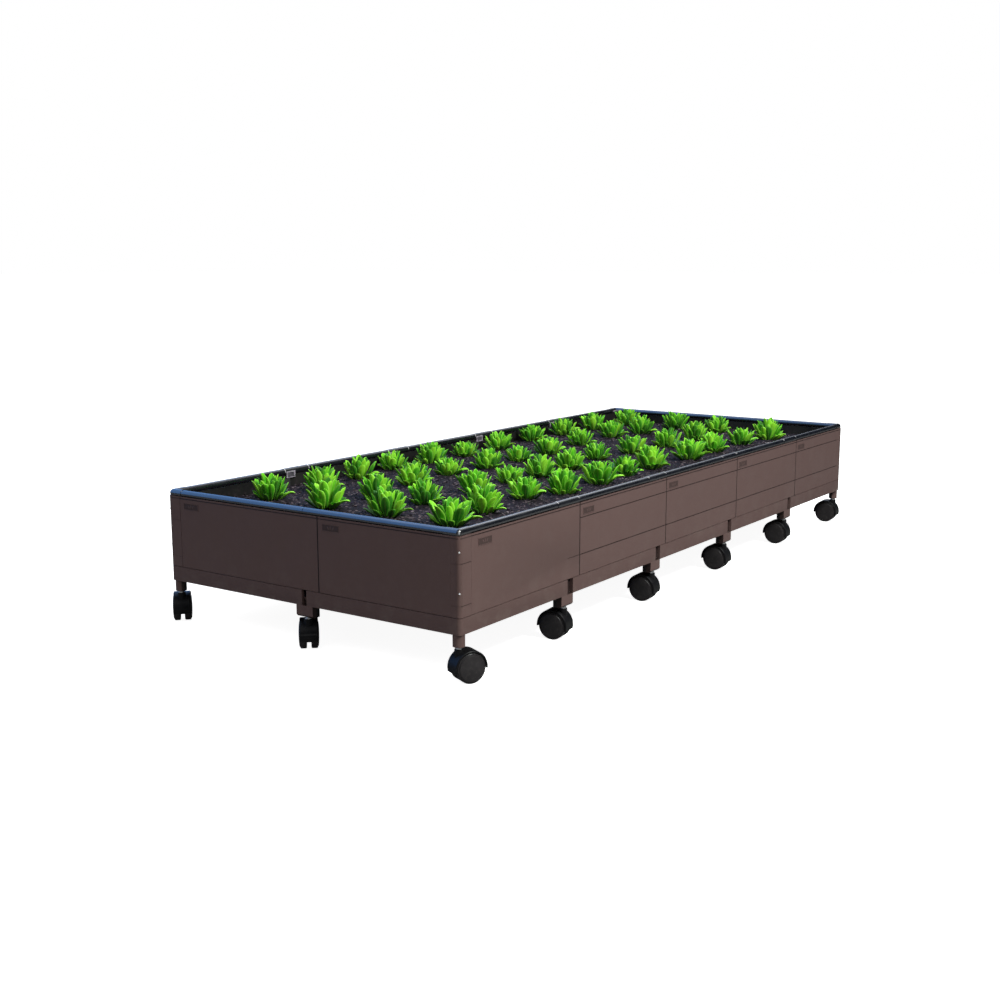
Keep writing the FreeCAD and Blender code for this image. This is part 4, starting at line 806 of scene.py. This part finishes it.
def w_span(v, a, b, x=0.0, y=1.0):
    n = wn.nodes.new("ShaderNodeMapRange")
    n.interpolation_type = "SMOOTHSTEP"
    wn.links.new(v, n.inputs[0])
    for i, t in enumerate((a, b, x, y), start=1):
        n.inputs[i].default_value = t
    return n.outputs[0]


# a broad soft blue wall of light that only the glossy rail picks up
w_az = w_math("MULTIPLY", w_math("ARCTAN2", w_sep.outputs[1], w_sep.outputs[0]), 180 / math.pi)
w_zone = w_math("MULTIPLY", w_span(w_az, 30, 46), w_span(w_az, 150, 166, 1.0, 0.0))
w_zone = w_math("MULTIPLY", w_zone, w_math("MULTIPLY", w_span(w_sep.outputs[2], 0.0, 0.06),
                                           w_span(w_sep.outputs[2], 0.90, 0.97, 1.0, 0.0)))
w_blue = wn.nodes.new("ShaderNodeBackground")
w_blue.inputs[0].default_value = (0.20, 0.45, 1.0, 1)
wn.links.new(w_math("ADD", w_math("MULTIPLY", w_zone, 1.75), 0.02), w_blue.inputs[1])
# and a paler patch that lights the long rail near the camera
w_spot = w_math("MULTIPLY", w_span(w_az, 8, 22), w_span(w_az, 34, 46, 1.0, 0.0))
w_spot = w_math("MULTIPLY", w_spot, w_math("MULTIPLY", w_span(w_sep.outputs[2], 0.20, 0.36),
                                           w_span(w_sep.outputs[2], 0.72, 0.86, 1.0, 0.0)))
w_pale = wn.nodes.new("ShaderNodeBackground")
w_pale.inputs[0].default_value = (0.80, 0.86, 1.0, 1)
wn.links.new(w_math("MULTIPLY", w_spot, 1.9), w_pale.inputs[1])
w_glossy = wn.nodes.new("ShaderNodeAddShader")
wn.links.new(w_blue.outputs[0], w_glossy.inputs[0])
wn.links.new(w_pale.outputs[0], w_glossy.inputs[1])
w_path = wn.nodes.new("ShaderNodeLightPath")
w_soft = wn.nodes.new("ShaderNodeMixShader")
wn.links.new(w_path.outputs["Is Glossy Ray"], w_soft.inputs[0])
wn.links.new(w_light.outputs[0], w_soft.inputs[1])
wn.links.new(w_glossy.outputs[0], w_soft.inputs[2])
w_mix = wn.nodes.new("ShaderNodeMixShader")
wn.links.new(w_path.outputs["Is Camera Ray"], w_mix.inputs[0])
wn.links.new(w_soft.outputs[0], w_mix.inputs[1])
wn.links.new(w_seen.outputs[0], w_mix.inputs[2])
wn.links.new(w_mix.outputs[0], w_out.inputs[0])

k = Mat("studio_floor", Roughness=0.9)
k.bsdf.inputs["Specular IOR Level"].default_value = 0.0
k.bsdf.inputs["Emission Color"].default_value = (1, 1, 1, 1)
path = k.node("ShaderNodeLightPath").outputs
seen = path["Is Camera Ray"]
k.set(Emission_Strength=k.math("MULTIPLY", k.span(seen, 0.0, 1.0, 0.10, 0.93), k.math("SUBTRACT", 1.0, path["Is Glossy Ray"])),
      Base_Color=k.mix(seen, (0.22, 0.22, 0.22), k.mix(k.noise(0.6, 2.0), (0.86, 0.86, 0.86), (0.88, 0.88, 0.88))))
floor = new_object("studio_floor", [(-60, -60, -0.0005), (60, -60, -0.0005), (60, 60, -0.0005), (-60, 60, -0.0005)],
                   [(0, 1, 2, 3)], k.m, smooth=False)
floor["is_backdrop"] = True

lo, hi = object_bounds()
